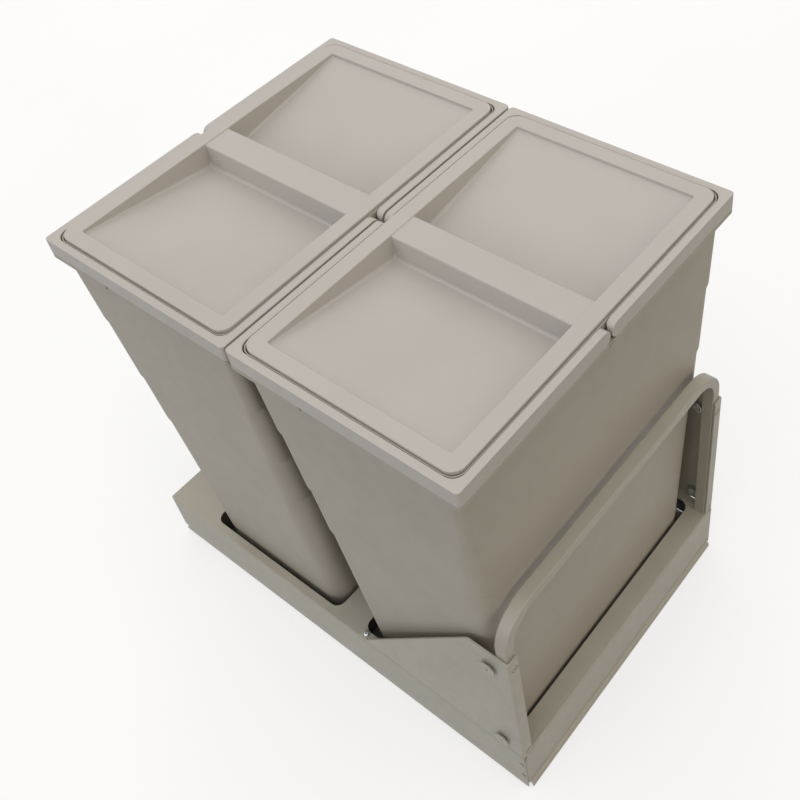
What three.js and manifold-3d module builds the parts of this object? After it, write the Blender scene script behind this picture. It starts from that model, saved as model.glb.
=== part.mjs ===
// Pull-out waste cabinet unit: a sheet-steel carriage on full-extension slides, holding two
// moulded bins with lids and carrying bails.  Millimetres, +Z up, the door side faces -Y.
// The origin is on the cabinet floor, under the middle of the unit.

import * as THREE from "three";
import { mergeVertices } from "three/addons/utils/BufferGeometryUtils.js";
import Module from "manifold-3d";

const wasm = await Module();
wasm.setup();

// ---------------------------------------------------------------- driving dimensions

const SEAT = 0.3; // gap left where one piece rests on or is fixed to another

// carriage tray
const TRAY_DEPTH = 500;
const TRAY_HEIGHT = 68;
const TRAY_SHEET = 1.2;
const TRAY_BEND = 4; // outer radius of the folds
const SKIRT_FLOOR_GAP = 2.5;
const FRONT_SKIRT_FLOOR_GAP = 9.5;
const REAR_HEM = 6;
const CORNER_SEAM = 0.5; // open seam between the side and front skirts
const CORNER_TAB_DEPTH = 10;
const CORNER_TAB_MARGIN = 5; // tab ends from the skirt's lower and upper edges
const TRAY_RIM = 10; // deck left beside the cut-outs
const CUT_RADIUS = 10;
const CUT_SLOPE_ROOM = 6; // room between a bin and its cut-out, along the slide
const CUT_SIDE_ROOM = 5.64; // room between a bin's side and its cut-out
const SIDE_NOTCH_RADIUS = 4;
const SIDE_NOTCH_HEIGHT = 9.5;

// fixed base
const RAIL_SHEET = 1.2;
const RAIL_HEIGHT = 50;
const RAIL_FOOT = 18;
const BAR_DEPTH = 15; // up to the tray's front and rear faces
const BAR_STANDOUT = 2.7; // on past those faces
const BAR_HEIGHT = 8;
const BAR_SIDE_GAP = 4; // base bar end to the carriage's outer side
const BAR_SHEET = 1.2;
const BAR_PASSING_GAP = 1.5; // the pan clears the bars as it slides over them

// slides, three members a side
const SLIDE_THICKNESS = 12;
const SLIDE_CENTRE_HEIGHT = 29;
const SLIDE_SHEET = 1.2;
const SLIDE_OUTER_HALF = 22.5;
const BALL_DIAMETER = 3.5;
const BALL_PLAY = 0.15;
const MEMBER_STEP = 1.0; // clear space between the webs of nested members
const CAGE_SHEET = 0.5;
const CAGE_LENGTH = 160;
const BALLS_PER_ROW = 4;
const FLANGE_RELIEF = 1.8; // flange tips stay this far short of the next web

// fasteners
const FLOOR_SCREW_SPACING = 300;
const FLOOR_SCREW_HEAD = 4;
const FLOOR_SCREW_HEAD_HEIGHT = 2.2;
const FLOOR_SCREW_SHANK = 2;
const SHANK_CLEARANCE = 0.3;
const RIVET_HEAD = 2.6;
const RIVET_HEAD_HEIGHT = 0.9;
const RIVET_SHANK = 1.5;
const RIVET_FROM_FRONT = 4.6;
const RIVET_HEIGHTS = [24, 49];
const DISC_RADIUS = 8;
const DISC_HEIGHT = 3;
const DISC_EDGE = 0.6;
const DISC_SOCKET = 2;
const DISC_SOCKET_DEPTH = 2;
const DISC_SHANK = 3;
const DISC_FROM_FRONT = 22;
const DISC_ABOVE_TRAY = [19, 159];
const NUT_ACROSS_FLATS = 10;
const NUT_HEIGHT = 5;
const NUT_END = 0.8; // bolt end past its nut
const RAIL_SCREW_HEAD = 3;
const RAIL_SCREW_SHANK = 1.8;
const RAIL_SCREW_LENGTH = 6;
const RAIL_SCREW_SOCKET = 1.1;
const RAIL_SCREW_SINK = 0.05; // head below the flange's face
const RAIL_SCREW_ABOVE_TRAY = [8.5, 168.5];
const DECK_SCREW_HEAD = 3.2;
const DECK_SCREW_HEAD_HEIGHT = 2.4;
const DECK_SCREW_SHANK = 1.8;
const DECK_SCREW_LENGTH = 6;
const DECK_SCREW_SOCKET = 1.3;

// door brackets and the front rail between them
const BRACKET_SHEET = 2;
const BRACKET_HEIGHT = 184;
const BRACKET_TOP_DEPTH = 43;
const BRACKET_FOOT_DEPTH = 199;
const BRACKET_FLANGE = 12.5;
const PLATE_FRONT_CORNER = 1.5;
const PLATE_SLOPE_CORNER = 2;
const FOOT_SHEET = 1.5;
const FOOT_WIDTH = 9.5;
const FOOT_TAIL = 11; // foot running on behind the plate's rear tip
const DECK_SCREW_FROM_TAIL = 8.5;
const DECK_SCREW_FROM_EDGE = 3.35; // from the foot's inner edge
const RAIL_TUBE_DEPTH = 12;
const RAIL_TUBE_WIDTH = 10.5;
const RAIL_TUBE_WALL = 1.5;
const RAIL_TUBE_EDGE = 3;
const RAIL_BEND = 39.5; // outside of the bend
const RAIL_TOP = 303;

// bin pan under the deck
const PAN_SHEET = 1.2;
const PAN_SIDE_GAP = 3;
const PAN_FRONT_GAP = 1.6;
const PAN_REAR_ROOM = 20; // behind the rear bin's rear wall
const PAN_FLANGE = 15;
const HANGER_FLANGE = 13;
const HANGER_SIDE_GAP = 7;

// bins
const BIN_WIDTH = 346;
const BIN_DEPTH = 221.6;
const BIN_SPACING = 2.2;
const BIN_FRONT_SETBACK = 9.8; // front rim behind the carriage's front
const BIN_WALL = 2;
const RIM_HEIGHT = 491;
const LIP_HEIGHT = 4.1;
const LIP_CORNER = 3.5;
const NECK_INSET = 7.3;
const NECK_WALL = 1.2;
const NECK_CORNER = 11;
const BODY_INSET_SIDE = 5.3;
const BODY_INSET_ENDS = 7.3;
const DRAFT_SIDE = 0.0455;
const DRAFT_FRONT = 0.0199;
const DRAFT_REAR = 0.0415;
const BODY_CORNERS = [ // corner radius of each storey and how far below the rim it ends
  { below: 95, radius: 10 },
  { below: 175, radius: 14 },
  { below: 247, radius: 18 },
  { below: RIM_HEIGHT, radius: 22 },
];
const STOREY_STEP = 3;
const SHELF_WIDTH = 4.3; // ledge under the lid, inside the neck
const FINGER_CUT = 74;
const PIVOT_PIN = 3;
const PIVOT_PIN_LENGTH = 3.6;
const PIVOT_PLAY = 0.35;

// bails
const BAIL_THICKNESS = 6.8;
const BAIL_HEIGHT = 15.5;
const BAIL_CORNER = 3.5;
const BAIL_INNER_CORNER = 9.8;
const BAIL_END_GAP = 1.9;
const BAIL_REST_GAP = 0.4; // between a bail and the lip that it lies over

// lids
const LID_PLAY = 0.4;
const LID_CORNER = 11.4;
const LID_RISE = 2; // lid top above the rims
const LID_WALL = 2;
const LID_BAND_SIDE = 13.9; // flat border at the ends of the ramps
const LID_BAND_FRONT = 14.4;
const LID_BAR_HALF = 14.3;
const LID_BAR_DROP = 1.2;
const LID_DISH_DEPTH = 24;
const LID_DISH_STEP = 3.2;
const LID_BAR_ROUND = 3;

// faceting
const ARC_STEPS = 4; // steps in a quarter turn
const ROUND_STEPS = 14; // sides of a small round
const BEND_STEPS = 8;

// ---------------------------------------------------------------- worked-out places

const rimHalf = BIN_WIDTH / 2;
const lipTop = RIM_HEIGHT - BAIL_HEIGHT - BAIL_REST_GAP;
const lipBottom = lipTop - LIP_HEIGHT;
const bodyHalfAtDeck = rimHalf - bodyInset(BODY_INSET_SIDE, DRAFT_SIDE, TRAY_HEIGHT);
const cutHalf = bodyHalfAtDeck + CUT_SIDE_ROOM;

const trayHalf = cutHalf + TRAY_RIM; // the tray is as wide as its cut-outs need
const trayFront = -TRAY_DEPTH / 2;
const trayRear = TRAY_DEPTH / 2;
const deckUnder = TRAY_HEIGHT - TRAY_SHEET;
const skirtInside = trayHalf - TRAY_SHEET;
const slideOuterSide = skirtInside - SEAT;
const slideInnerSide = slideOuterSide - SLIDE_THICKNESS;
const railOutside = slideInnerSide - SEAT;
const railInside = railOutside - RAIL_SHEET;
const barHalf = trayHalf - BAR_SIDE_GAP;
const barInside = trayRear - BAR_DEPTH; // |y| of the bars' inner faces
const barOutside = trayRear + BAR_STANDOUT;
const runnerHalf = barInside - SEAT; // rails and slides fill the space between the bars

const frontBin = {
  front: trayFront + BIN_FRONT_SETBACK,
  rear: trayFront + BIN_FRONT_SETBACK + BIN_DEPTH,
};
const rearBin = {
  front: frontBin.rear + BIN_SPACING,
  rear: frontBin.rear + BIN_SPACING + BIN_DEPTH,
};
const panHeight = BAR_HEIGHT + BAR_PASSING_GAP;
const binBottom = panHeight + PAN_SHEET + SEAT;
const plateBottom = TRAY_HEIGHT + SEAT;
const bracketTop = TRAY_HEIGHT + BRACKET_HEIGHT;
const plateInside = trayHalf - BRACKET_SHEET;
const discHeights = DISC_ABOVE_TRAY.map((above) => TRAY_HEIGHT + above);
const railScrewHeights = RAIL_SCREW_ABOVE_TRAY.map((above) => TRAY_HEIGHT + above);
const tubeOutside = plateInside - SEAT;
const tubeFront = trayFront + BRACKET_SHEET + SEAT;
const tubeRear = tubeFront + RAIL_TUBE_DEPTH;
const pivotHeight = RIM_HEIGHT - BAIL_HEIGHT / 2;
const pivotX = (BAIL_HEIGHT + BAIL_END_GAP) / 2;

// ---------------------------------------------------------------- shape helpers

/** Closed outline from corners [u, v, radius]; a radius rounds its corner with an arc. */
function outline(corners, steps = ARC_STEPS) {
  const points = [];
  corners.forEach(([u, v, radius = 0], i) => {
    const here = new THREE.Vector2(u, v);
    if (radius <= 0) {
      points.push(here);
      return;
    }
    const last = corners.at(i - 1);
    const next = corners[(i + 1) % corners.length];
    const back = new THREE.Vector2(last[0], last[1]).sub(here).normalize();
    const ahead = new THREE.Vector2(next[0], next[1]).sub(here).normalize();
    const opening = Math.acos(THREE.MathUtils.clamp(back.dot(ahead), -1, 1));
    const tangent = radius / Math.tan(opening / 2);
    const centre = back.clone().add(ahead).normalize();
    centre.multiplyScalar(radius / Math.sin(opening / 2)).add(here);
    const start = here.clone().addScaledVector(back, tangent).sub(centre).angle();
    const end = here.clone().addScaledVector(ahead, tangent).sub(centre).angle();
    const turn = Math.atan2(Math.sin(end - start), Math.cos(end - start));
    const count = Math.max(1, Math.round((Math.abs(turn) / (Math.PI / 2)) * steps));
    for (let k = 0; k <= count; k += 1) {
      const angle = start + (turn * k) / count;
      points.push(new THREE.Vector2(Math.cos(angle), Math.sin(angle)).multiplyScalar(radius).add(centre));
    }
  });
  return new THREE.Shape(points);
}

/** Rounded rectangle outline between two corners. */
function roundedBox(u0, v0, u1, v1, radius, steps = ARC_STEPS) {
  return outline([[u0, v0, radius], [u1, v0, radius], [u1, v1, radius], [u0, v1, radius]], steps);
}

/** Section of a folded sheet: it lies to the left of the line through [u, v, bend radius]. */
function sheet(line, thickness) {
  const far = line.map(([u, v, bend = 0], i) => {
    const here = new THREE.Vector2(u, v);
    const before = line[Math.max(i - 1, 0)];
    const after = line[Math.min(i + 1, line.length - 1)];
    const arriving = here.clone().sub(new THREE.Vector2(before[0], before[1])).normalize();
    const leaving = new THREE.Vector2(after[0], after[1]).sub(here).normalize();
    const a = arriving.lengthSq() > 0 ? arriving : leaving;
    const b = leaving.lengthSq() > 0 ? leaving : arriving;
    const normalSum = new THREE.Vector2(-a.y - b.y, a.x + b.x);
    here.addScaledVector(normalSum, thickness / (1 + a.dot(b)));
    const turnsLeft = a.cross(b) > 0;
    const inner = turnsLeft ? Math.max(bend - thickness, 0) : bend + thickness;
    return [here.x, here.y, bend > 0 ? inner : 0];
  });
  return outline([...line, ...far.reverse()]);
}

/** A manifold solid from a closed three.js geometry. */
function solid(geometry) {
  geometry.deleteAttribute("normal");
  geometry.deleteAttribute("uv");
  const merged = mergeVertices(geometry, 1e-4);
  return new wasm.Manifold(new wasm.Mesh({
    numProp: 3,
    vertProperties: new Float32Array(merged.attributes.position.array),
    triVerts: new Uint32Array(merged.index.array),
  }));
}

/** Extrudes an outline along "x", "y" or "z" from one coordinate to another. */
function prism(shape, axis, from, to) {
  const geometry = new THREE.ExtrudeGeometry(shape, { depth: to - from, bevelEnabled: false });
  const X = new THREE.Vector3(1, 0, 0);
  const Y = new THREE.Vector3(0, 1, 0);
  const Z = new THREE.Vector3(0, 0, 1);
  if (axis === "x") {
    geometry.applyMatrix4(new THREE.Matrix4().makeBasis(Y, Z, X));
    geometry.translate(from, 0, 0);
  } else if (axis === "y") {
    geometry.applyMatrix4(new THREE.Matrix4().makeBasis(X, Z, Y.clone().negate()));
    geometry.translate(0, to, 0);
  } else {
    geometry.translate(0, 0, from);
  }
  return solid(geometry);
}

/** Box between two corners. */
function block([x0, y0, z0], [x1, y1, z1]) {
  const geometry = new THREE.BoxGeometry(Math.abs(x1 - x0), Math.abs(y1 - y0), Math.abs(z1 - z0));
  geometry.translate((x0 + x1) / 2, (y0 + y1) / 2, (z0 + z1) / 2);
  return solid(geometry);
}

/** Turned piece: [radius, height] points spun about an axis that starts at a place. */
function turned(profile, place, direction, sides = ROUND_STEPS) {
  const points = profile.map(([radius, height]) => new THREE.Vector2(radius, height));
  const geometry = new THREE.LatheGeometry(points, sides);
  const spin = new THREE.Quaternion();
  spin.setFromUnitVectors(new THREE.Vector3(0, 1, 0), new THREE.Vector3(...direction));
  geometry.applyQuaternion(spin);
  geometry.translate(...place);
  return solid(geometry);
}

/** Round bar from a place, along a direction. */
function rod(radius, length, place, direction, sides = ROUND_STEPS) {
  return turned([[0, 0], [radius, 0], [radius, length], [0, length]], place, direction, sides);
}

/** Closed skin through rings of points that turn anticlockwise seen from above, lowest first. */
function loft(rings) {
  const count = rings[0].length;
  const positions = rings.flat().flatMap((point) => [point.x, point.y, point.z]);
  const triangles = [];
  for (let level = 0; level < rings.length - 1; level += 1) {
    for (let i = 0; i < count; i += 1) {
      const a = level * count + i;
      const b = level * count + ((i + 1) % count);
      triangles.push(a, b, b + count, a, b + count, a + count);
    }
  }
  const top = (rings.length - 1) * count;
  for (let i = 1; i < count - 1; i += 1) {
    triangles.push(0, i + 1, i, top, top + i, top + i + 1);
  }
  const geometry = new THREE.BufferGeometry();
  geometry.setAttribute("position", new THREE.Float32BufferAttribute(positions, 3));
  geometry.setIndex(triangles);
  return solid(geometry);
}

/** All of the solids joined. */
function joined(...pieces) {
  return pieces.reduce((whole, piece) => whole.add(piece));
}

/** The solid without the others. */
function without(whole, ...cutters) {
  return cutters.reduce((rest, cutter) => rest.subtract(cutter), whole);
}

// ---------------------------------------------------------------- finishes

const finishes = {
  paintedSteel: { color: 0x8f8b7e, roughness: 0.5, metalness: 0.1 },
  binPlastic: { color: 0x96938a, roughness: 0.55, metalness: 0 },
  lidPlastic: { color: 0xbcb5ab, roughness: 0.5, metalness: 0 },
  zincSteel: { color: 0x9fa2a3, roughness: 0.35, metalness: 0.9 },
  paintedHead: { color: 0x95917e, roughness: 0.45, metalness: 0.1 },
};

const unit = new THREE.Group();

/** Adds a solid to the unit as a named piece. */
function piece(name, body, finish) {
  const mesh = body.getMesh();
  const geometry = new THREE.BufferGeometry();
  geometry.setAttribute("position", new THREE.BufferAttribute(new Float32Array(mesh.vertProperties), 3));
  geometry.setIndex(new THREE.BufferAttribute(new Uint32Array(mesh.triVerts), 1));
  const made = new THREE.Mesh(geometry, new THREE.MeshStandardMaterial(finishes[finish]));
  made.name = name;
  unit.add(made);
}

const SIDES = [{ side: "left", s: -1 }, { side: "right", s: 1 }];

// ---------------------------------------------------------------- fixed base

/** Floor rail of one side: an upright web that carries the slide, and an inward foot. */
function floorRail(s) {
  const section = sheet([
    [railInside - RAIL_FOOT, 0],
    [railOutside, 0, RAIL_SHEET * 1.5],
    [railOutside, RAIL_HEIGHT],
  ], RAIL_SHEET);
  const mirrored = new THREE.Shape(section.getPoints().map((p) => new THREE.Vector2(s * p.x, p.y)));
  const rail = prism(mirrored, "y", -runnerHalf, runnerHalf);
  const holes = floorScrewPlaces(s).map(([x, y]) => rod(
    FLOOR_SCREW_SHANK + SHANK_CLEARANCE, RAIL_SHEET + 2, [x, y, -1], [0, 0, 1]));
  return without(rail, ...holes);
}

function floorScrewPlaces(s) {
  const x = s * (railInside - RAIL_FOOT / 2);
  return [[x, -FLOOR_SCREW_SPACING / 2], [x, FLOOR_SCREW_SPACING / 2]];
}

/** Folded bar across the front (s = -1) or rear (s = 1) of the base. */
function baseBar(s) {
  const section = sheet([
    [barInside, 0],
    [barInside, BAR_HEIGHT, BAR_SHEET * 1.5],
    [barOutside, BAR_HEIGHT, BAR_SHEET * 1.5],
    [barOutside, 0],
  ].reverse(), BAR_SHEET);
  const placed = new THREE.Shape(section.getPoints().map((p) => new THREE.Vector2(s * p.x, p.y)));
  return prism(placed, "x", -barHalf, barHalf);
}

/** Pan-head screw standing in a hole, its head on the given height. */
function panHeadScrew(head, headHeight, shank, length, socket, [x, y, seat]) {
  const profile = [[0, -length], [shank, -length], [shank, 0], [head, 0], [head, headHeight * 0.45],
    [head * 0.72, headHeight * 0.9], [socket, headHeight], [socket, headHeight * 0.45],
    [0, headHeight * 0.45]];
  return turned(profile, [x, y, seat], [0, 0, 1]);
}

SIDES.forEach(({ side, s }) => {
  piece(`rail_${side}`, floorRail(s), "paintedSteel");
  floorScrewPlaces(s).forEach(([x, y], i) => {
    const seat = RAIL_SHEET + SEAT;
    const screw = panHeadScrew(FLOOR_SCREW_HEAD, FLOOR_SCREW_HEAD_HEIGHT, FLOOR_SCREW_SHANK,
      RAIL_SHEET, DECK_SCREW_SOCKET, [x, y, seat]);
    piece(`floor_screw_${side}_${i + 1}`, screw, "zincSteel");
  });
});
piece("base_front_bar", baseBar(-1), "paintedSteel");
piece("base_rear_bar", baseBar(1), "paintedSteel");

// ---------------------------------------------------------------- slides

const ballRoom = BALL_DIAMETER + 2 * BALL_PLAY;
const outerInnerFace = SLIDE_OUTER_HALF - SLIDE_SHEET;
const midHalf = outerInnerFace - ballRoom;
const innerHalf = midHalf - SLIDE_SHEET - ballRoom;
const midWeb = SLIDE_SHEET + MEMBER_STEP;
const outerFlange = SLIDE_THICKNESS - FLANGE_RELIEF;
const midFlange = SLIDE_THICKNESS - SLIDE_SHEET - 0.4;
const innerFlange = midWeb + SLIDE_SHEET + MEMBER_STEP + 0.2;
const cageGap = (MEMBER_STEP - CAGE_SHEET) / 2;

/** C section along the slide: web at u = web, flanges reaching to u = tip, open towards the tip. */
function channel(s, web, tip, half, thickness, bend = thickness * 1.5) {
  const line = tip > web
    ? [[tip, half], [web, half, bend], [web, -half, bend], [tip, -half]]
    : [[tip, -half], [web, -half, bend], [web, half, bend], [tip, half]];
  const section = sheet(line, thickness).getPoints().map((p) => new THREE.Vector2(
    s * (slideInnerSide + p.x), SLIDE_CENTRE_HEIGHT + p.y));
  return new THREE.Shape(section);
}

/** Ball cage: a thin channel with its balls, at half the height of the ball rows. */
function ballCage(s, web, tip, ballHeight, ballU) {
  const half = ballHeight + CAGE_SHEET / 2;
  const strip = prism(channel(s, web, tip, half, CAGE_SHEET), "y", -CAGE_LENGTH / 2, CAGE_LENGTH / 2);
  const pitch = CAGE_LENGTH / BALLS_PER_ROW;
  const balls = [];
  for (let i = 0; i < BALLS_PER_ROW; i += 1) {
    [-ballHeight, ballHeight].forEach((v) => {
      const ball = new THREE.IcosahedronGeometry(BALL_DIAMETER / 2, 0);
      ball.translate(s * (slideInnerSide + ballU), -CAGE_LENGTH / 2 + (i + 0.5) * pitch,
        SLIDE_CENTRE_HEIGHT + v);
      balls.push(solid(ball));
    });
  }
  return joined(strip, ...balls);
}

SIDES.forEach(({ side, s }) => {
  const outer = channel(s, 0, outerFlange, SLIDE_OUTER_HALF, SLIDE_SHEET);
  const mid = channel(s, midWeb, midFlange, midHalf, SLIDE_SHEET);
  const inner = channel(s, SLIDE_THICKNESS, innerFlange, innerHalf, SLIDE_SHEET);
  piece(`slide_outer_${side}`, prism(outer, "y", -runnerHalf, runnerHalf), "zincSteel");
  piece(`slide_mid_${side}`, prism(mid, "y", -runnerHalf, runnerHalf), "zincSteel");
  piece(`slide_inner_${side}`, prism(inner, "y", -runnerHalf, runnerHalf), "zincSteel");
  const outerCage = ballCage(s, SLIDE_SHEET + cageGap, outerFlange - 1,
    midHalf + ballRoom / 2, SLIDE_THICKNESS / 2);
  const innerCage = ballCage(s, midWeb + SLIDE_SHEET + cageGap, SLIDE_THICKNESS - SLIDE_SHEET - 1,
    innerHalf + ballRoom / 2, SLIDE_THICKNESS / 2 + 1);
  piece(`cage_outer_${side}`, outerCage, "zincSteel");
  piece(`cage_inner_${side}`, innerCage, "zincSteel");
});

// ---------------------------------------------------------------- carriage tray

/** How far a bin's wall stands inside its rim at a height, from its inset and draft. */
function bodyInset(inset, draft, height) {
  return inset + draft * (lipBottom - height);
}

/** Front and rear edges of the cut-out that a bin drops into. */
function cutEdges(bin) {
  const front = bin.front + bodyInset(BODY_INSET_ENDS, DRAFT_FRONT, TRAY_HEIGHT);
  const rear = bin.rear - bodyInset(BODY_INSET_ENDS, DRAFT_REAR, TRAY_HEIGHT);
  return [front - CUT_SLOPE_ROOM * 0.6, rear + CUT_SLOPE_ROOM * 0.4];
}

function deckTray() {
  const across = sheet([
    [trayHalf, SKIRT_FLOOR_GAP],
    [trayHalf, TRAY_HEIGHT, TRAY_BEND],
    [-trayHalf, TRAY_HEIGHT, TRAY_BEND],
    [-trayHalf, SKIRT_FLOOR_GAP],
  ], TRAY_SHEET);
  const frontFace = trayFront + TRAY_SHEET + CORNER_SEAM;
  const body = prism(across, "y", frontFace, trayRear);
  const frontFold = sheet([
    [trayFront + 2 * TRAY_BEND, TRAY_HEIGHT],
    [trayFront, TRAY_HEIGHT, TRAY_BEND],
    [trayFront, FRONT_SKIRT_FLOOR_GAP],
  ], TRAY_SHEET);
  const front = prism(frontFold, "x", -trayHalf + SEAT, trayHalf - SEAT);
  const hem = block([-trayHalf + TRAY_BEND, trayRear - TRAY_SHEET, TRAY_HEIGHT - REAR_HEM],
    [trayHalf - TRAY_BEND, trayRear, deckUnder + TRAY_SHEET / 2]);
  const reliefs = SIDES.map(({ s }) => block(
    [s * (trayHalf - TRAY_BEND), trayFront - 1, TRAY_HEIGHT - TRAY_BEND],
    [s * (trayHalf + 1), trayFront + TRAY_BEND, TRAY_HEIGHT + 1]));
  const tabs = SIDES.map(({ s }) => block(
    [s * (skirtInside - SEAT), trayFront + TRAY_SHEET / 2, FRONT_SKIRT_FLOOR_GAP + CORNER_TAB_MARGIN],
    [s * (skirtInside - SEAT - TRAY_SHEET), trayFront + TRAY_SHEET + CORNER_TAB_DEPTH,
      TRAY_HEIGHT - TRAY_BEND - CORNER_TAB_MARGIN]));
  const cuts = [frontBin, rearBin].map((bin) => {
    const [from, to] = cutEdges(bin);
    return prism(roundedBox(-cutHalf, from, cutHalf, to, CUT_RADIUS), "z", deckUnder - 1, TRAY_HEIGHT + 1);
  });
  const rivetHoles = SIDES.flatMap(({ s }) => RIVET_HEIGHTS.map((z) => rod(
    RIVET_SHANK + SHANK_CLEARANCE, 6, [s * (trayHalf + 1), trayFront + RIVET_FROM_FRONT, z],
    [-s, 0, 0])));
  const screwHoles = SIDES.map(({ s }) => rod(DECK_SCREW_SHANK + SHANK_CLEARANCE, 4,
    [s * deckScrewX, deckScrewY, deckUnder - 1], [0, 0, 1]));
  const notches = SIDES.map(({ s }) => rod(SIDE_NOTCH_RADIUS, 6,
    [s * (trayHalf + 1), trayRear, SIDE_NOTCH_HEIGHT], [-s, 0, 0]));
  const folded = joined(body, without(front, ...reliefs), hem, ...tabs);
  return without(folded, ...cuts, ...rivetHoles, ...screwHoles, ...notches);
}

/** Blind rivet through the side skirt and the front skirt's tab. */
function cornerRivet(s, z) {
  const tail = TRAY_SHEET * 2 + 2 * SEAT + RIVET_HEAD_HEIGHT;
  const profile = [[0, -tail], [RIVET_SHANK, -tail], [RIVET_SHANK, SEAT], [RIVET_HEAD, SEAT],
    [RIVET_HEAD * 0.7, SEAT + RIVET_HEAD_HEIGHT * 0.75], [0, SEAT + RIVET_HEAD_HEIGHT]];
  return turned(profile, [s * trayHalf, trayFront + RIVET_FROM_FRONT, z], [s, 0, 0], 12);
}

/** Folded pan that hangs under the deck and carries the bins. */
function binPan() {
  const top = deckUnder - SEAT;
  const front = trayFront + TRAY_SHEET + PAN_FRONT_GAP;
  const rear = rearBin.rear - bodyInset(BODY_INSET_ENDS, DRAFT_REAR, TRAY_HEIGHT) + PAN_REAR_ROOM;
  const bend = PAN_SHEET * 1.5;
  const section = sheet([
    [front + PAN_FLANGE, top],
    [front, top, bend],
    [front, panHeight, bend],
    [rear, panHeight, bend],
    [rear, top - PAN_SHEET, bend],
    [rear + PAN_FLANGE, top - PAN_SHEET],
  ], PAN_SHEET);
  const half = railInside - PAN_SIDE_GAP;
  return prism(section, "x", -half, half);
}

/** Z-shaped hanger between the bins, from the deck's bridge down to the pan. */
function panHanger() {
  const middle = (frontBin.rear + rearBin.front) / 2 - HANGER_FLANGE / 3;
  const bend = PAN_SHEET * 1.5;
  const section = sheet([
    [middle - HANGER_FLANGE, binBottom],
    [middle, binBottom, bend],
    [middle, deckUnder - SEAT - PAN_SHEET, bend],
    [middle + HANGER_FLANGE, deckUnder - SEAT - PAN_SHEET],
  ], PAN_SHEET);
  const half = railInside - PAN_SIDE_GAP - HANGER_SIDE_GAP;
  return prism(section, "x", -half, half);
}

const footInside = trayHalf - FOOT_WIDTH;
const deckScrewX = footInside + DECK_SCREW_FROM_EDGE;
const footRear = trayFront + BRACKET_FOOT_DEPTH + FOOT_TAIL;
const deckScrewY = footRear - DECK_SCREW_FROM_TAIL;

piece("deck_tray", deckTray(), "paintedSteel");
piece("bin_pan", binPan(), "paintedSteel");
piece("pan_hanger", panHanger(), "paintedSteel");
SIDES.forEach(({ side, s }) => {
  RIVET_HEIGHTS.forEach((z, i) => {
    piece(`corner_rivet_${side}_${i + 1}`, cornerRivet(s, z), "paintedHead");
  });
});

// ---------------------------------------------------------------- door brackets and front rail

/** Side plate with a front flange for the door and a foot on the deck. */
function doorBracket(s) {
  const plate = prism(outline([
    [trayFront, plateBottom],
    [trayFront, bracketTop, PLATE_FRONT_CORNER],
    [trayFront + BRACKET_TOP_DEPTH, bracketTop, PLATE_SLOPE_CORNER],
    [trayFront + BRACKET_FOOT_DEPTH, plateBottom],
  ]), "x", s > 0 ? plateInside : -trayHalf, s > 0 ? trayHalf : -plateInside);
  const flange = block([s * trayHalf, trayFront, plateBottom],
    [s * (trayHalf - BRACKET_FLANGE), trayFront + BRACKET_SHEET, bracketTop]);
  const foot = block([s * trayHalf, tubeRear + 1, plateBottom],
    [s * footInside, footRear, plateBottom + FOOT_SHEET]);
  const boltHoles = discHeights.map((z) => rod(DISC_SHANK + SHANK_CLEARANCE, BRACKET_SHEET + 2,
    [s * (trayHalf + 1), trayFront + DISC_FROM_FRONT, z], [-s, 0, 0]));
  const railHoles = railScrewHeights.map((z) => turned(
    [[0, -1], [RAIL_SCREW_HEAD + SHANK_CLEARANCE, -1], [RAIL_SCREW_HEAD + SHANK_CLEARANCE, SEAT],
      [RAIL_SCREW_SHANK + SHANK_CLEARANCE, SEAT + RAIL_SCREW_HEAD - RAIL_SCREW_SHANK],
      [RAIL_SCREW_SHANK + SHANK_CLEARANCE, BRACKET_SHEET + 1], [0, BRACKET_SHEET + 1]],
    [s * tubeCentreX, trayFront, z], [0, 1, 0], 16));
  const footHole = rod(DECK_SCREW_SHANK + SHANK_CLEARANCE, FOOT_SHEET + 2,
    [s * deckScrewX, deckScrewY, plateBottom - 1], [0, 0, 1]);
  return without(joined(plate, flange, foot), ...boltHoles, ...railHoles, footHole);
}

/** Rings of a rounded tube section carried up one leg, round the bends and down the other. */
function railRings(margin, overrun) {
  const halfWidth = RAIL_TUBE_WIDTH / 2 - margin;
  const depthMiddle = (tubeFront + tubeRear) / 2;
  const halfDepth = RAIL_TUBE_DEPTH / 2 - margin;
  const section = roundedBox(-halfWidth, -halfDepth, halfWidth, halfDepth,
    RAIL_TUBE_EDGE - margin, 2).getPoints();
  const bendCentre = RAIL_BEND - RAIL_TUBE_WIDTH / 2;
  const top = RAIL_TOP - RAIL_TUBE_WIDTH / 2;
  const side = tubeCentreX;
  const ring = (x, z, angle) => section.map((p) => new THREE.Vector3(
    x + p.x * Math.cos(angle), depthMiddle + p.y, z + p.x * Math.sin(angle)));
  const rings = [ring(-side, plateBottom - overrun, 0)];
  for (let k = 0; k <= BEND_STEPS; k += 1) {
    const angle = (-Math.PI / 2) * (k / BEND_STEPS);
    rings.push(ring(-side + bendCentre - bendCentre * Math.cos(angle),
      top - bendCentre - bendCentre * Math.sin(angle), angle));
  }
  for (let k = 0; k <= BEND_STEPS; k += 1) {
    const angle = -Math.PI / 2 - (Math.PI / 2) * (k / BEND_STEPS);
    rings.push(ring(side - bendCentre - bendCentre * Math.cos(angle),
      top - bendCentre - bendCentre * Math.sin(angle), angle));
  }
  rings.push(ring(side, plateBottom - overrun, -Math.PI));
  return rings;
}

const tubeCentreX = tubeOutside - RAIL_TUBE_WIDTH / 2;

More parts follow.
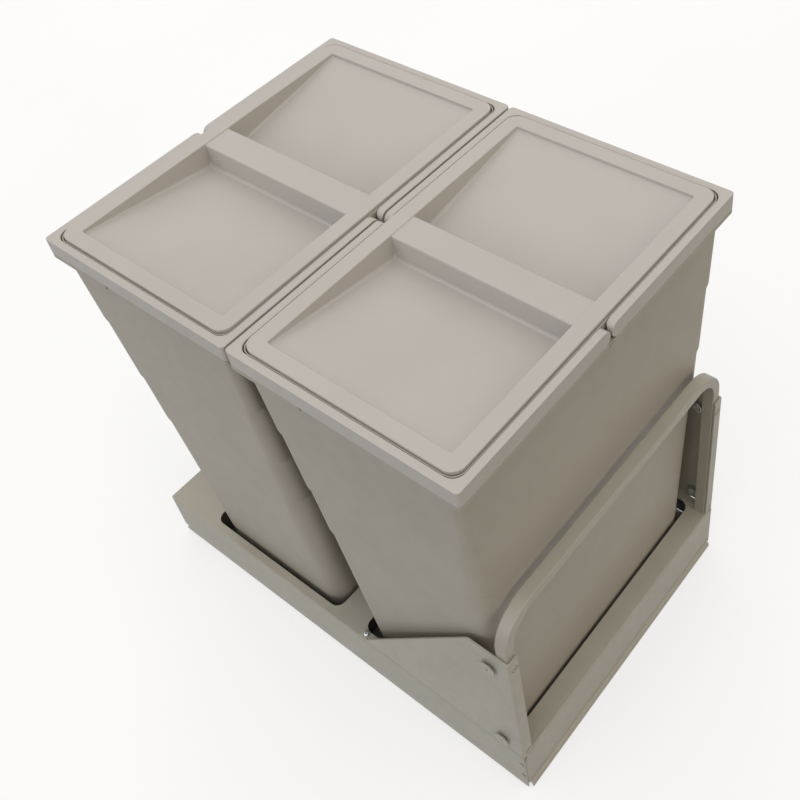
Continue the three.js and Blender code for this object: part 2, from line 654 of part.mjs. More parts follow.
function frontRail() {
  const tube = loft(railRings(0, 0)).subtract(loft(railRings(RAIL_TUBE_WALL, 1)));
  const holes = SIDES.flatMap(({ s }) => railScrewHeights.map((z) => rod(
    RAIL_SCREW_SHANK + SHANK_CLEARANCE, RAIL_TUBE_DEPTH / 2, [s * tubeCentreX, tubeFront - 1, z],
    [0, 1, 0], 12)));
  return without(tube, ...holes);
}

/** Countersunk screw, flush with the bracket's front face. */
function railScrew(s, z) {
  const sink = RAIL_SCREW_HEAD - RAIL_SCREW_SHANK;
  const profile = [[0, RAIL_SCREW_LENGTH], [RAIL_SCREW_SHANK, RAIL_SCREW_LENGTH],
    [RAIL_SCREW_SHANK, SEAT + sink], [RAIL_SCREW_HEAD, SEAT], [RAIL_SCREW_HEAD, RAIL_SCREW_SINK],
    [RAIL_SCREW_SOCKET, RAIL_SCREW_SINK], [RAIL_SCREW_SOCKET, 1], [0, 1]].reverse();
  return turned(profile, [s * tubeCentreX, trayFront, z], [0, 1, 0], 16);
}

/** Round-headed bolt through the bracket plate, with a socket in its head. */
function discBolt(s, z) {
  const length = BRACKET_SHEET + SEAT + NUT_HEIGHT + NUT_END;
  const top = SEAT + DISC_HEIGHT;
  const profile = [[0, -length], [DISC_SHANK, -length], [DISC_SHANK, SEAT], [DISC_RADIUS, SEAT],
    [DISC_RADIUS, top - DISC_EDGE], [DISC_RADIUS - DISC_EDGE, top], [DISC_SOCKET, top],
    [DISC_SOCKET, top - DISC_SOCKET_DEPTH], [0, top - DISC_SOCKET_DEPTH]];
  return turned(profile, [s * trayHalf, trayFront + DISC_FROM_FRONT, z], [s, 0, 0], 20);
}

function hexNut(s, z) {
  const place = [s * (plateInside - SEAT), trayFront + DISC_FROM_FRONT, z];
  const hex = rod(NUT_ACROSS_FLATS / 2 / Math.cos(Math.PI / 6), NUT_HEIGHT, place, [-s, 0, 0], 6);
  const bore = rod(DISC_SHANK + SHANK_CLEARANCE, NUT_HEIGHT + 2,
    [place[0] + s, place[1], place[2]], [-s, 0, 0]);
  return hex.subtract(bore);
}

SIDES.forEach(({ side, s }) => {
  piece(`bracket_${side}`, doorBracket(s), "paintedSteel");
  railScrewHeights.forEach((z, i) => {
    piece(`rail_screw_${side}_${i + 1}`, railScrew(s, z), "paintedHead");
  });
  discHeights.forEach((z, i) => {
    piece(`disc_bolt_${side}_${i + 1}`, discBolt(s, z), "paintedHead");
    piece(`nut_${side}_${i + 1}`, hexNut(s, z), "zincSteel");
  });
  const seat = plateBottom + FOOT_SHEET + SEAT;
  piece(`deck_screw_${side}`, panHeadScrew(DECK_SCREW_HEAD, DECK_SCREW_HEAD_HEIGHT,
    DECK_SCREW_SHANK, DECK_SCREW_LENGTH, DECK_SCREW_SOCKET, [s * deckScrewX, deckScrewY, seat]),
  "zincSteel");
});
piece("front_rail", frontRail(), "paintedSteel");

// ---------------------------------------------------------------- bins

/** Plan ring at a height: side, front and rear insets from the rim, with round corners. */
function planRing(bin, side, front, rear, radius, z) {
  const shape = roundedBox(-rimHalf + side, bin.front + front, rimHalf - side, bin.rear - rear, radius);
  return shape.getPoints().map((p) => new THREE.Vector3(p.x, p.y, z));
}

/** Body surface between two heights, stood off inwards by a wall. */
function bodyRings(bin, bottom, top, wall) {
  const heights = [];
  BODY_CORNERS.forEach(({ below, radius }, i) => {
    const upper = i === 0 ? top : RIM_HEIGHT - BODY_CORNERS[i - 1].below - STOREY_STEP / 2;
    const lower = Math.max(RIM_HEIGHT - below + STOREY_STEP / 2, bottom);
    heights.unshift([upper, radius]);
    heights.unshift([lower, radius]);
  });
  return heights.map(([z, radius]) => planRing(bin,
    bodyInset(BODY_INSET_SIDE, DRAFT_SIDE, z) + wall,
    bodyInset(BODY_INSET_ENDS, DRAFT_FRONT, z) + wall,
    bodyInset(BODY_INSET_ENDS, DRAFT_REAR, z) + wall,
    radius - wall, z));
}

/** Plan outline of a bin at one even inset from its rim. */
function planShape(bin, inset, radius) {
  return roundedBox(-rimHalf + inset, bin.front + inset, rimHalf - inset, bin.rear - inset, radius);
}

/** Frame between two even insets from the rim. */
function frame(bin, outerInset, outerRadius, innerInset, innerRadius, bottom, top) {
  const outside = prism(planShape(bin, outerInset, outerRadius), "z", bottom, top);
  const inside = prism(planShape(bin, innerInset, innerRadius), "z", bottom - 1, top + 1);
  return outside.subtract(inside);
}

function binBody(bin) {
  const shell = loft(bodyRings(bin, binBottom, lipTop, 0));
  const hollow = loft(bodyRings(bin, binBottom + BIN_WALL, lipTop + 1, BIN_WALL));
  const neckInside = NECK_INSET + NECK_WALL;
  const lip = frame(bin, 0, LIP_CORNER, neckInside + SHELF_WIDTH, NECK_CORNER - NECK_WALL,
    lipBottom, lipTop);
  const neck = frame(bin, NECK_INSET, NECK_CORNER, neckInside, NECK_CORNER - NECK_WALL,
    lipBottom, RIM_HEIGHT);
  const pins = SIDES.flatMap(({ s }) => [
    rod(PIVOT_PIN, PIVOT_PIN_LENGTH + 1, [s * pivotX, bin.front + NECK_INSET + 1, pivotHeight],
      [0, -1, 0], 16),
    rod(PIVOT_PIN, PIVOT_PIN_LENGTH + 1, [s * pivotX, bin.rear - NECK_INSET - 1, pivotHeight],
      [0, 1, 0], 16),
  ]);
  const middle = (bin.front + bin.rear) / 2;
  const fingerCuts = SIDES.map(({ s }) => block(
    [s * (rimHalf - BODY_INSET_SIDE + 0.1), middle - FINGER_CUT / 2, lipBottom - 1],
    [s * (rimHalf + 1), middle + FINGER_CUT / 2, lipTop + 0.2]));
  return without(joined(shell.subtract(hollow), lip, neck, ...pins), ...fingerCuts);
}

/** Half of the bin's carrying bail: it lies round one side of the rim and swings up about its pins. */
function bail(bin, s) {
  const bottom = RIM_HEIGHT - BAIL_HEIGHT;
  const ring = frame(bin, 0, BAIL_CORNER, BAIL_THICKNESS, BAIL_INNER_CORNER, bottom, RIM_HEIGHT);
  const otherHalf = block([s * pivotX, bin.front - 1, bottom - 1],
    [-s * (rimHalf + 1), bin.rear + 1, RIM_HEIGHT + 1]);
  const ends = [bin.front, bin.rear - BAIL_THICKNESS].map((y) => rod(BAIL_HEIGHT / 2,
    BAIL_THICKNESS, [s * pivotX, y, pivotHeight], [0, 1, 0], 24));
  const depth = PIVOT_PIN_LENGTH - (NECK_INSET - BAIL_THICKNESS) + PIVOT_PLAY;
  const bores = [
    rod(PIVOT_PIN + PIVOT_PLAY, depth + 1,
      [s * pivotX, bin.front + BAIL_THICKNESS + 1, pivotHeight], [0, -1, 0], 16),
    rod(PIVOT_PIN + PIVOT_PLAY, depth + 1,
      [s * pivotX, bin.rear - BAIL_THICKNESS - 1, pivotHeight], [0, 1, 0], 16),
  ];
  return without(joined(ring.subtract(otherHalf), ...ends), ...bores);
}

/** Dished lid with a bar across its middle to lift it by. */
function binLid(bin) {
  const inset = NECK_INSET + NECK_WALL + LID_PLAY;
  const top = RIM_HEIGHT + LID_RISE;
  const bottom = lipTop + SEAT;
  const half = rimHalf - inset;
  const middle = (bin.front + bin.rear) / 2;
  const dishHalfX = half - LID_BAND_SIDE;
  const dishHalfY = (bin.rear - bin.front) / 2 - inset - LID_BAND_FRONT;
  const plate = prism(planShape(bin, inset, LID_CORNER), "z", top - LID_WALL, top);
  const skirt = frame(bin, inset, LID_CORNER, inset + LID_WALL, LID_CORNER - LID_WALL, bottom, top);
  const floorAt = (drop) => [
    [-dishHalfX, top - LID_DISH_STEP - drop],
    [-LID_BAR_HALF + drop * 0.9, top - LID_DISH_DEPTH - drop, LID_BAR_ROUND],
    [-LID_BAR_HALF + drop, top - LID_BAR_DROP - drop, LID_BAR_ROUND],
    [LID_BAR_HALF - drop, top - LID_BAR_DROP - drop, LID_BAR_ROUND],
    [LID_BAR_HALF - drop * 0.9, top - LID_DISH_DEPTH - drop, LID_BAR_ROUND],
    [dishHalfX, top - LID_DISH_STEP - drop],
  ];
  const dishHollow = outline([[-dishHalfX, top + 1], ...floorAt(0), [dishHalfX, top + 1]]);
  const outerX = dishHalfX + LID_WALL;
  const dishShell = outline([[-outerX, top - LID_WALL / 2], [-outerX, top - LID_DISH_STEP - LID_WALL],
    ...floorAt(LID_WALL), [outerX, top - LID_DISH_STEP - LID_WALL], [outerX, top - LID_WALL / 2]]);
  const outerY = dishHalfY + LID_WALL;
  const shell = prism(dishShell, "y", middle - outerY, middle + outerY);
  const hollow = prism(dishHollow, "y", middle - dishHalfY, middle + dishHalfY);
  return joined(plate, skirt, shell).subtract(hollow);
}

[["front", frontBin], ["rear", rearBin]].forEach(([place, bin]) => {
  piece(`bin_${place}`, binBody(bin), "binPlastic");
  piece(`lid_${place}`, binLid(bin), "lidPlastic");
  SIDES.forEach(({ side, s }) => {
    piece(`bail_${place}_${side}`, bail(bin, s), "lidPlastic");
  });
});

export default unit;
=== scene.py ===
"""Looks of the pull-out waste cabinet unit: folded and powder-coated steel carriage, moulded bins,
lids and bails.  Sizes are in millimetres in the shape code and become metres in new_object().
The frame's boxes give every place; the sizes named here are those that a box doesn't hold."""

from contextlib import contextmanager
import math

import bmesh
import bpy
from mathutils import Matrix, Vector


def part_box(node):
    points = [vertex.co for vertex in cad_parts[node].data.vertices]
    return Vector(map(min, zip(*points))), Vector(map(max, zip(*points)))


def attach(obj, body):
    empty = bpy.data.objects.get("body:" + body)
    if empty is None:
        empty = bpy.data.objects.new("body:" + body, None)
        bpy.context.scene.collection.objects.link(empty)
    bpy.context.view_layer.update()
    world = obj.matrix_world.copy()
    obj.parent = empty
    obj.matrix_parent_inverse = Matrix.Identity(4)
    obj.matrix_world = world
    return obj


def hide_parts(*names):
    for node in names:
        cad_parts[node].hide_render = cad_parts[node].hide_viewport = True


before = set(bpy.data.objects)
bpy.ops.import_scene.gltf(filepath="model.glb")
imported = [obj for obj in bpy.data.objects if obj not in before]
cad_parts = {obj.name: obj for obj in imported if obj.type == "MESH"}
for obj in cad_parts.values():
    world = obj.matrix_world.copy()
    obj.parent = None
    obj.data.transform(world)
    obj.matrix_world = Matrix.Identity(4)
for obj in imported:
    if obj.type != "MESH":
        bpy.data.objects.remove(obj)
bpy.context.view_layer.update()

MM = 0.001
SIDES = (("left", -1), ("right", 1))
PLACES = ("front", "rear")

# ---------------------------------------------------------------- sizes, in millimetres

# folded steel
TRAY_SHEET = 1.2
TRAY_BEND = 1.7
SKIRT_RELIEF = 4  # corner of the folds that is left open
SKIRT_FLOOR_GAP = 2.5
FRONT_SKIRT_FLOOR_GAP = 9.5
REAR_HEM = 6
CORNER_SEAM = (0.4, 1.6)  # side skirt from the front, front skirt from the sides
CORNER_TAB = (10, 5, 0.3)  # depth, margin above and below, gap to the skirt
TRAY_RIM = 10
CUT_RADIUS = 10
CUT_ROOM = (3.6, 2.4)  # in front of and behind a bin
NOTCH_RADIUS = 4
NOTCH_HEIGHT = 9.5
NOTCH_DEPTH = 3  # how far in from the skirt's outside each cut starts
TAB_DRILL = 6
DECK_DRILL = 5
BRACKET_SHEET = 2
BRACKET_BEND = 2.3
BRACKET_TOP_DEPTH = 43
BRACKET_CORNER = 6
BRACKET_FOOT_DEPTH = 199
BRACKET_LIFT = (2.6, 23, 28)  # gap under the front, where it starts to close, where it is closed
BRACKET_SEAM = 1  # seam that is left along the rest of the plate
BRACKET_FLANGE = 12.5
FOOT_SHEET = 1.5
FOOT_WIDTH = 9.5
FOOT_CORNERS = (1.5, 3)  # at the plate and at the free edge
FOOT_OVERLAP = 1.6  # of the foot into the plate
PLATE_DRILL = 5
PROFILE_ROOM = 7.5
RAIL_GAP = 0.3  # between flange and rail
BRACKET_EDGE = 0.35  # rounding
TUBE_WIDTH = 10.5
TUBE_DEPTH = 12
TUBE_WALL = 1.5
TUBE_EDGE = 1.2
TUBE_INNER_EDGE = 0.5
TUBE_BEND = 39.5
BAR_SHEET = 1.2
BAR_BENDS = (1.8, 5.5)  # inner and outer fold
SHEET_EDGE = 0.3  # rounding of a punched and coated sheet edge
BOLT_HOLE = 3.3
RIVET_HOLE = 1.8
SCREW_HOLE = 2.1
SCREW_SINK = (3.3, 1.2)  # radius and depth
HIDDEN_EDGE = 0.2  # roundings of the hidden pieces
CAGE_EDGE = 0.05
NUT_EDGE = 0.3
HEAD_EDGE = 0.12

# bins
BIN_WALL = 2
BAIL_HEIGHT = 15.5
BAIL_REST_GAP = 0.4
LIP_HEIGHT = 4.1
LIP_CORNER = 3.5
NECK_INSET = 7.3
NECK_WALL = 1.2
NECK_CORNER = 11
NECK_DROP = 0.8  # below the rims
BODY_INSET_SIDE = 5.3
BODY_INSET_ENDS = 7.3
DRAFT_SIDE = 0.0455
DRAFT_FRONT = 0.0199
DRAFT_REAR = 0.0415
STOREYS = ((95, 10), (171.5, 14), (236, 18))  # end below the rim, corner radius
FOOT_CORNER = 22
STOREY_STEP = 3
STOREY_EASE = 0.9
BOTTOM_MARGIN = 12  # between the wall and the flat middle of the bottom
SHELF_WIDTH = 4.3
FINGER_CUT = 74
FINGER_CUT_ROOM = 0.1  # between the cut and the bin's wall
NOTCH_EDGE = ((1.2, 0.0), (0.5, 0.08), (0.12, 0.35), (0.0, 1.0))  # along the lip, share of the cut
PIVOT_PIN = 3
PIVOT_PIN_LENGTH = 3.6
PIVOT_PLAY = 0.35
BAIL_STOP = (2.4, 12.2, 9, 0.6)  # half width, foot and top below the pivot, height off the neck

# bails
BAIL_THICKNESS = 6.8
BAIL_CORNER = 3.5
BAIL_INNER_CORNER = 9.8
BAIL_END_GAP = 1.9
BAIL_END_ROUND = 3.6  # inner corner of a bail's end, seen from above
BAIL_EDGE = 0.4

# lids
LID_CORNER = 11.4
LID_EDGE = 0.7
LID_WALL = 2
LID_BAND_SIDE = 13.9
LID_BAND_FRONT = 14.4
LID_BAR_HALF = 14.3
LID_BAR_DROP = 1.2
LID_BAR_EDGE = 1.7
LID_BAR_LEAN = 0.7
LID_BAR_FOOT = 3.5
LID_DISH_DEPTH = 24
LID_DISH_STEP = 3.2
LID_DISH_CORNER = 1.6
LID_DISH_EDGE = 0.8
LID_DISH_FOOT = 3.2
LID_WALL_DRAFT = 0.03
LID_DISH_FULL = 12  # depth from which the dish's foot has its whole fillet
LID_LEAST_FOOT = 0.4
LID_STEP_EDGE = 0.6
LID_LAST_COLUMN = 0.8  # nearest that a column of the turn lies to the step
LID_SKIRT_EDGE = 0.4
LID_INNER_EDGE = 0.8
LID_MARGINS = (1.5, 1.2)  # of the top inside its rim, of the underside inside the skirt
FILLET_STEPS = 6

CORNER_STEPS = 10
BEND_STEPS = 20
OVERCUT = 1  # how far a cutter stands past what it cuts
TOUCH = 0.01  # least difference that counts
BUILT_MERGE, CUT_MERGE, TURNED_MERGE = 1e-6, 4e-6, 3e-6  # metres between points that become one


# ---------------------------------------------------------------- outlines and meshes

def millimetres(node):
    """Lowest and highest corner of a CAD node, in millimetres."""
    low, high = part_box(node)
    return low / MM, high / MM


def outline(corners, steps=8):
    """Closed outline from (u, v) or (u, v, radius) corners; a radius makes its corner an arc."""
    points = []
    for i, corner in enumerate(corners):
        here = Vector(corner[:2])
        radius = corner[2] if len(corner) > 2 else 0
        if radius <= 0:
            points.append(tuple(here))
            continue
        back = (Vector(corners[i - 1][:2]) - here).normalized()
        ahead = (Vector(corners[(i + 1) % len(corners)][:2]) - here).normalized()
        half = back.angle(ahead) / 2
        centre = here + (back + ahead).normalized() * radius / math.sin(half)
        first = here + back * radius / math.tan(half) - centre
        last = here + ahead * radius / math.tan(half) - centre
        start = math.atan2(first.y, first.x)
        turn = math.remainder(math.atan2(last.y, last.x) - start, math.tau)
        count = max(2, round(abs(turn) / (math.pi / 2) * steps))
        for k in range(count + 1):
            angle = start + turn * k / count
            points.append((centre.x + radius * math.cos(angle),
                           centre.y + radius * math.sin(angle)))
    return points


def folded(line, thickness):
    """Corners of a folded sheet's section, which lies left of the line through (u, v, bend)."""
    runs = [(Vector(b[:2]) - Vector(a[:2])).normalized() for a, b in zip(line, line[1:])]
    far = []
    for (u, v, *bend), arriving, leaving in zip(line, runs[:1] + runs, runs + runs[-1:]):
        sideways = Vector((-arriving.y - leaving.y, arriving.x + leaving.x))
        here = Vector((u, v)) + sideways * thickness / (1 + arriving.dot(leaving))
        turns_left = arriving.x * leaving.y - arriving.y * leaving.x > 0
        radius = bend[0] if bend else 0
        inner = max(radius - thickness, 0.3) if turns_left else radius + thickness
        far.append((here.x, here.y, inner if radius else 0))
    return list(line) + far[::-1]


def circle(u, v, radius, steps=32):
    """Round outline about a point."""
    turns = (math.tau * k / steps for k in range(steps))
    return [(u + radius * math.cos(t), v + radius * math.sin(t)) for t in turns]


@contextmanager
def edited(mesh):
    """A mesh as a shape to edit, written back at the end."""
    shape = bmesh.new()
    shape.from_mesh(mesh)
    yield shape
    shape.to_mesh(mesh)
    shape.free()


def in_scene(name, data):
    """A new object of some data, in the scene."""
    obj = bpy.data.objects.new(name, data)
    bpy.context.scene.collection.objects.link(obj)
    return obj


def new_object(name, points, faces):
    """Mesh object from points in millimetres, its faces turned outwards."""
    mesh = bpy.data.meshes.new(name)
    mesh.from_pydata([Vector(p) * MM for p in points], [], faces)
    with edited(mesh) as shape:
        bmesh.ops.remove_doubles(shape, verts=shape.verts, dist=BUILT_MERGE)
        bmesh.ops.recalc_face_normals(shape, faces=shape.faces)
        for face in shape.faces:
            face.smooth = True
    return in_scene(name, mesh)


def prism(name, points, axis, low, high):
    """Solid of an outline run along an axis between two places; u and v are the other two axes."""
    low, high = sorted((low, high))
    place = {"x": lambda u, v, w: (w, u, v), "y": lambda u, v, w: (u, w, v),
             "z": lambda u, v, w: (u, v, w)}[axis]
    count = len(points)
    corners = [place(u, v, low) for u, v in points] + [place(u, v, high) for u, v in points]
    faces = [list(range(count)), list(range(count, 2 * count))]
    faces += [(i, (i + 1) % count, count + (i + 1) % count, count + i) for i in range(count)]
    return new_object(name, corners, faces)


def block(name, low, high):
    """Box between two corners, whichever way round they are given."""
    (x0, x1), (y0, y1), (z0, z1) = (sorted(pair) for pair in zip(low, high))
    return prism(name, [(x0, y0), (x1, y0), (x1, y1), (x0, y1)], "z", z0, z1)


def loft(name, rings, closed_ends=True):
    """Skin through rings of equally many points, with flat caps or closed on itself."""
    count = len(rings[0])
    points = [p for ring in rings for p in ring]
    levels = len(rings) if not closed_ends else len(rings) - 1
    faces = []
    for level in range(levels):
        a = level * count
        b = (level + 1) % len(rings) * count
        faces += [(a + i, a + (i + 1) % count, b + (i + 1) % count, b + i) for i in range(count)]
    if closed_ends:
        faces += [list(range(count)), list(range((len(rings) - 1) * count, len(rings) * count))]
    return new_object(name, points, faces)


def bake(obj):
    """Turns an object's modifiers into plain mesh."""
    depsgraph = bpy.context.evaluated_depsgraph_get()
    made = bpy.data.meshes.new_from_object(obj.evaluated_get(depsgraph), depsgraph=depsgraph)
    before = obj.data
    obj.modifiers.clear()
    obj.data = made
    bpy.data.meshes.remove(before)
    made.name = obj.name
    return obj


def combine(obj, operation, other):
    """Cuts another solid from an object, joins it or keeps what both share, and removes it."""
    modifier = obj.modifiers.new(operation, "BOOLEAN")
    modifier.operation = operation
    modifier.solver = "EXACT"
    modifier.object = other
    bake(obj)
    bpy.data.objects.remove(other)


def bored(obj, u, v, radius, axis, low, high, steps=24):
    """Cuts a round hole along an axis between two places."""
    combine(obj, "DIFFERENCE", prism("bore", circle(u, v, radius, steps), axis, low, high))


def tidied(obj, flat_angle=0.5):
    """Merges doubled points and melts the edges inside flat faces."""
    with edited(obj.data) as shape:
        bmesh.ops.remove_doubles(shape, verts=shape.verts, dist=CUT_MERGE)
        bmesh.ops.dissolve_limit(shape, angle_limit=math.radians(flat_angle), verts=shape.verts,
                                 edges=shape.edges)
        for face in shape.faces:
            face.smooth = True
    return obj


def softened(obj, radius, segments=3, sharper_than=33):
    """Rounds the sharp edges, keeps the flat faces flat and the piece inside its own box."""
    tidied(obj)
    low, high = ([end(v.co[k] for v in obj.data.vertices) for k in range(3)] for end in (min, max))
    bevel = obj.modifiers.new("edges", "BEVEL")
    bevel.width = radius * MM
    bevel.segments = segments
    bevel.limit_method = "ANGLE"
    bevel.angle_limit = math.radians(sharper_than)
    bevel.use_clamp_overlap = False
    bevel.harden_normals = True
    bake(obj)
    for vertex in obj.data.vertices:
        vertex.co = [min(max(c, a), b) for c, a, b in zip(vertex.co, low, high)]
    return obj


def flattened(obj):
    """Weights the normals by face area, so that flat faces shade flat beside small roundings."""
    weights = obj.modifiers.new("normals", "WEIGHTED_NORMAL")
    weights.weight = 80
    weights.mode = "FACE_AREA"
    return bake(obj)


def eased(path, steps=5):
    """Rounds a path of (values..., ease): each corner becomes a curve that starts ease before it.

    The ease is a length in the first and the last value's plane."""
    smooth = []
    for i, (*here, ease) in enumerate(path):
        here = Vector(here)
        if not ease:
            smooth.append(tuple(here))
            continue
        towards = []
        for other in (path[i - 1], path[i + 1]):
            step = Vector(other[:-1]) - here
            towards.append(here + step * min(0.5, ease / math.hypot(step[0], step[-1])))
        for k in range(steps + 1):
            t = k / steps
            point = towards[0] * (1 - t) ** 2 + here * 2 * t * (1 - t) + towards[1] * t * t
            smooth.append(tuple(point))
    return smooth


def finish(obj, body, slot, material, *nodes):
    """Gives a finished piece its body, its material and the nodes that it stands for; its slot is
    not used.
    """
    obj.data.materials.clear()
    obj.data.materials.append(material)
    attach(obj, body)
    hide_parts(*nodes)
    return obj


# ---------------------------------------------------------------- node trees

def add(tree, kind, settings=None, **sockets):
    """Adds a node with its settings and its linked or plain inputs, named with _ for a space."""
    node = tree.nodes.new(kind)
    for name, value in (settings or {}).items():
        setattr(node, name, value)
    for name, value in sockets.items():
        socket = node.inputs[int(name[1:]) if name[1:].isdigit() else name.replace("_", " ")]
        if isinstance(value, bpy.types.NodeSocket):
            tree.links.new(value, socket)
        else:
            socket.default_value = value
    return node


def calculated(tree, operation, a, b):
    """Sum, product or the like of two numbers."""
    return add(tree, "ShaderNodeMath", {"operation": operation}, _0=a, _1=b).outputs[0]


def colour(hex_value):
    """Linear colour from an sRGB hex value."""
    channels = (hex_value >> 16 & 255, hex_value >> 8 & 255, hex_value & 255)
    linear = [c / 255 / 12.92 if c <= 10 else ((c / 255 + 0.055) / 1.055) ** 2.4 for c in channels]
    return (*linear, 1)


def per_metre(size):
    """Pattern scale for a feature of a size in millimetres."""
    return 1 / (size * MM)


def surface(name, **values):
    """A new material: its tree, its shader and a coordinate node."""
    material = bpy.data.materials.new(name)
    material.use_nodes = True
    tree = material.node_tree
    tree.nodes.clear()
    shader = add(tree, "ShaderNodeBsdfPrincipled", None, **values)
    output = add(tree, "ShaderNodeOutputMaterial")
    tree.links.new(shader.outputs["BSDF"], output.inputs["Surface"])
    place = add(tree, "ShaderNodeTexCoord").outputs["Object"]
    return material, tree, shader, place


def noise(tree, place, size, detail=2, roughness=0.5):
    """Noise with features of a size in millimetres."""
    return add(tree, "ShaderNodeTexNoise", None, Vector=place, Scale=per_metre(size),
               Detail=detail, Roughness=roughness).outputs["Fac"]


def ramp(tree, factor, low, high, values=(0.3, 0.7)):
    """Colour that runs from low to high over a stretch of the factor."""
    node = add(tree, "ShaderNodeValToRGB", None, Fac=factor)
    for element, position, value in zip(node.color_ramp.elements, values, (low, high)):
        element.position = position
        element.color = value
    return node.outputs["Color"]


def spread(tree, factor, low, high):
    """Number that runs from low to high with the middle of a noise."""
    node = add(tree, "ShaderNodeMapRange", None, Value=factor, From_Min=0.3, From_Max=0.7,
               To_Min=low, To_Max=high)
    return node.outputs["Result"]


def relief(tree, shader, height, depth, below=None):
    """Bump of a depth in millimetres."""
    node = add(tree, "ShaderNodeBump", None, Height=height, Strength=1.0, Distance=depth * MM)
    if below:
        tree.links.new(below, node.inputs["Normal"])
    tree.links.new(node.outputs["Normal"], shader.inputs["Normal"])
    return node.outputs["Normal"]


def moulded_plastic(name, base, light, dark, grain, rough):
    """Polypropylene from an eroded steel mould: an even satin skin with a fine dull grain, a slow
    drift of tone where the melt flowed, and a faint sink of the flat walls."""
    material, tree, shader, place = surface(name, IOR=1.49)
    drift = noise(tree, place, 90, 2)
    tone = ramp(tree, drift, colour(dark), colour(light), (0.35, 0.65))
    specks = ramp(tree, noise(tree, place, 1.1, 2), colour(dark), colour(light), (0.4, 0.6))
    mixed = add(tree, "ShaderNodeMix", {"data_type": "RGBA"}, _0=0.18, _6=tone, _7=specks)
    even = add(tree, "ShaderNodeMix", {"data_type": "RGBA"}, _0=0.45, _6=mixed.outputs[2],
               _7=colour(base))
    tree.links.new(even.outputs[2], shader.inputs["Base Color"])
    gloss = noise(tree, place, 14, 3)
    tree.links.new(spread(tree, gloss, rough - 0.03, rough + 0.04), shader.inputs["Roughness"])
    sink = relief(tree, shader, noise(tree, place, 60, 1), 0.12)
    relief(tree, shader, noise(tree, place, grain, 2, 0.6), 0.035, sink)
    return material


def powder_coated_steel(name, base, light, dark, rough):
    """Mild steel sheet, baked polyester powder: a closed satin film with a shallow orange peel
    that breaks up the highlights along the folds, and a little unevenness in gloss."""
    material, tree, shader, place = surface(name, IOR=1.5)
    patches = ramp(tree, noise(tree, place, 55, 3), colour(dark), colour(light), (0.35, 0.65))
    even = add(tree, "ShaderNodeMix", {"data_type": "RGBA"}, _0=0.5, _6=patches, _7=colour(base))
    tree.links.new(even.outputs[2], shader.inputs["Base Color"])
    gloss = noise(tree, place, 9, 3)
    tree.links.new(spread(tree, gloss, rough - 0.04, rough + 0.05), shader.inputs["Roughness"])
    peel = relief(tree, shader, noise(tree, place, 2.2, 1), 0.05)
    relief(tree, shader, noise(tree, place, 0.7, 2), 0.012, peel)
    return material


def zinc_plated_steel(name, tint, stretch):
    """Cold-drawn steel with clear zinc plate: a bright grey metal with fine draw lines along the
    slides and cloudy patches where the plate took differently."""
    material, tree, shader, place = surface(name, Metallic=1.0)
    clouds = ramp(tree, noise(tree, place, 34, 3), colour(0xBCBFC1), colour(tint), (0.3, 0.7))
    tree.links.new(clouds, shader.inputs["Base Color"])
    along = add(tree, "ShaderNodeMapping", None, Vector=place, Scale=stretch).outputs["Vector"]
    lines = noise(tree, along, 0.6, 2)
    tree.links.new(spread(tree, lines, 0.26, 0.42), shader.inputs["Roughness"])
    relief(tree, shader, lines, 0.01)
    return material


LID_PLASTIC = moulded_plastic("moulded_polypropylene_lid_satin",
                              0xB9B4AE, 0xBDB8B1, 0xB5B0AA, grain=0.9, rough=0.46)
# The bins use the lids' plastic in a darker tone. This is painted shade for their walls, which
# face sideways while the lids face up to the light.
BIN_PLASTIC_PAINTED_SHADE = moulded_plastic("moulded_polypropylene_bin_satin",
                              0xA7A194, 0xABA598, 0xA39D90, grain=1.0, rough=0.5)
PAINTED = powder_coated_steel("powder_coated_steel_satin_grey",
                              0xA7A295, 0xABA699, 0xA29D8F, rough=0.42)
PAINTED_HEAD = powder_coated_steel("powder_coated_steel_fasteners",
                                   0xA6A194, 0xAAA598, 0xA19C8E, rough=0.38)
ZINC = zinc_plated_steel("zinc_plated_steel_drawn", 0xC9CBCB, (1, 0.03, 1))
ZINC_SCREW = zinc_plated_steel("zinc_plated_steel_screws", 0xCFD0CF, (1, 1, 1))


# ---------------------------------------------------------------- turned fasteners

AXIS_RADIUS = 1e-7  # metres; the circle that a profile is turned about


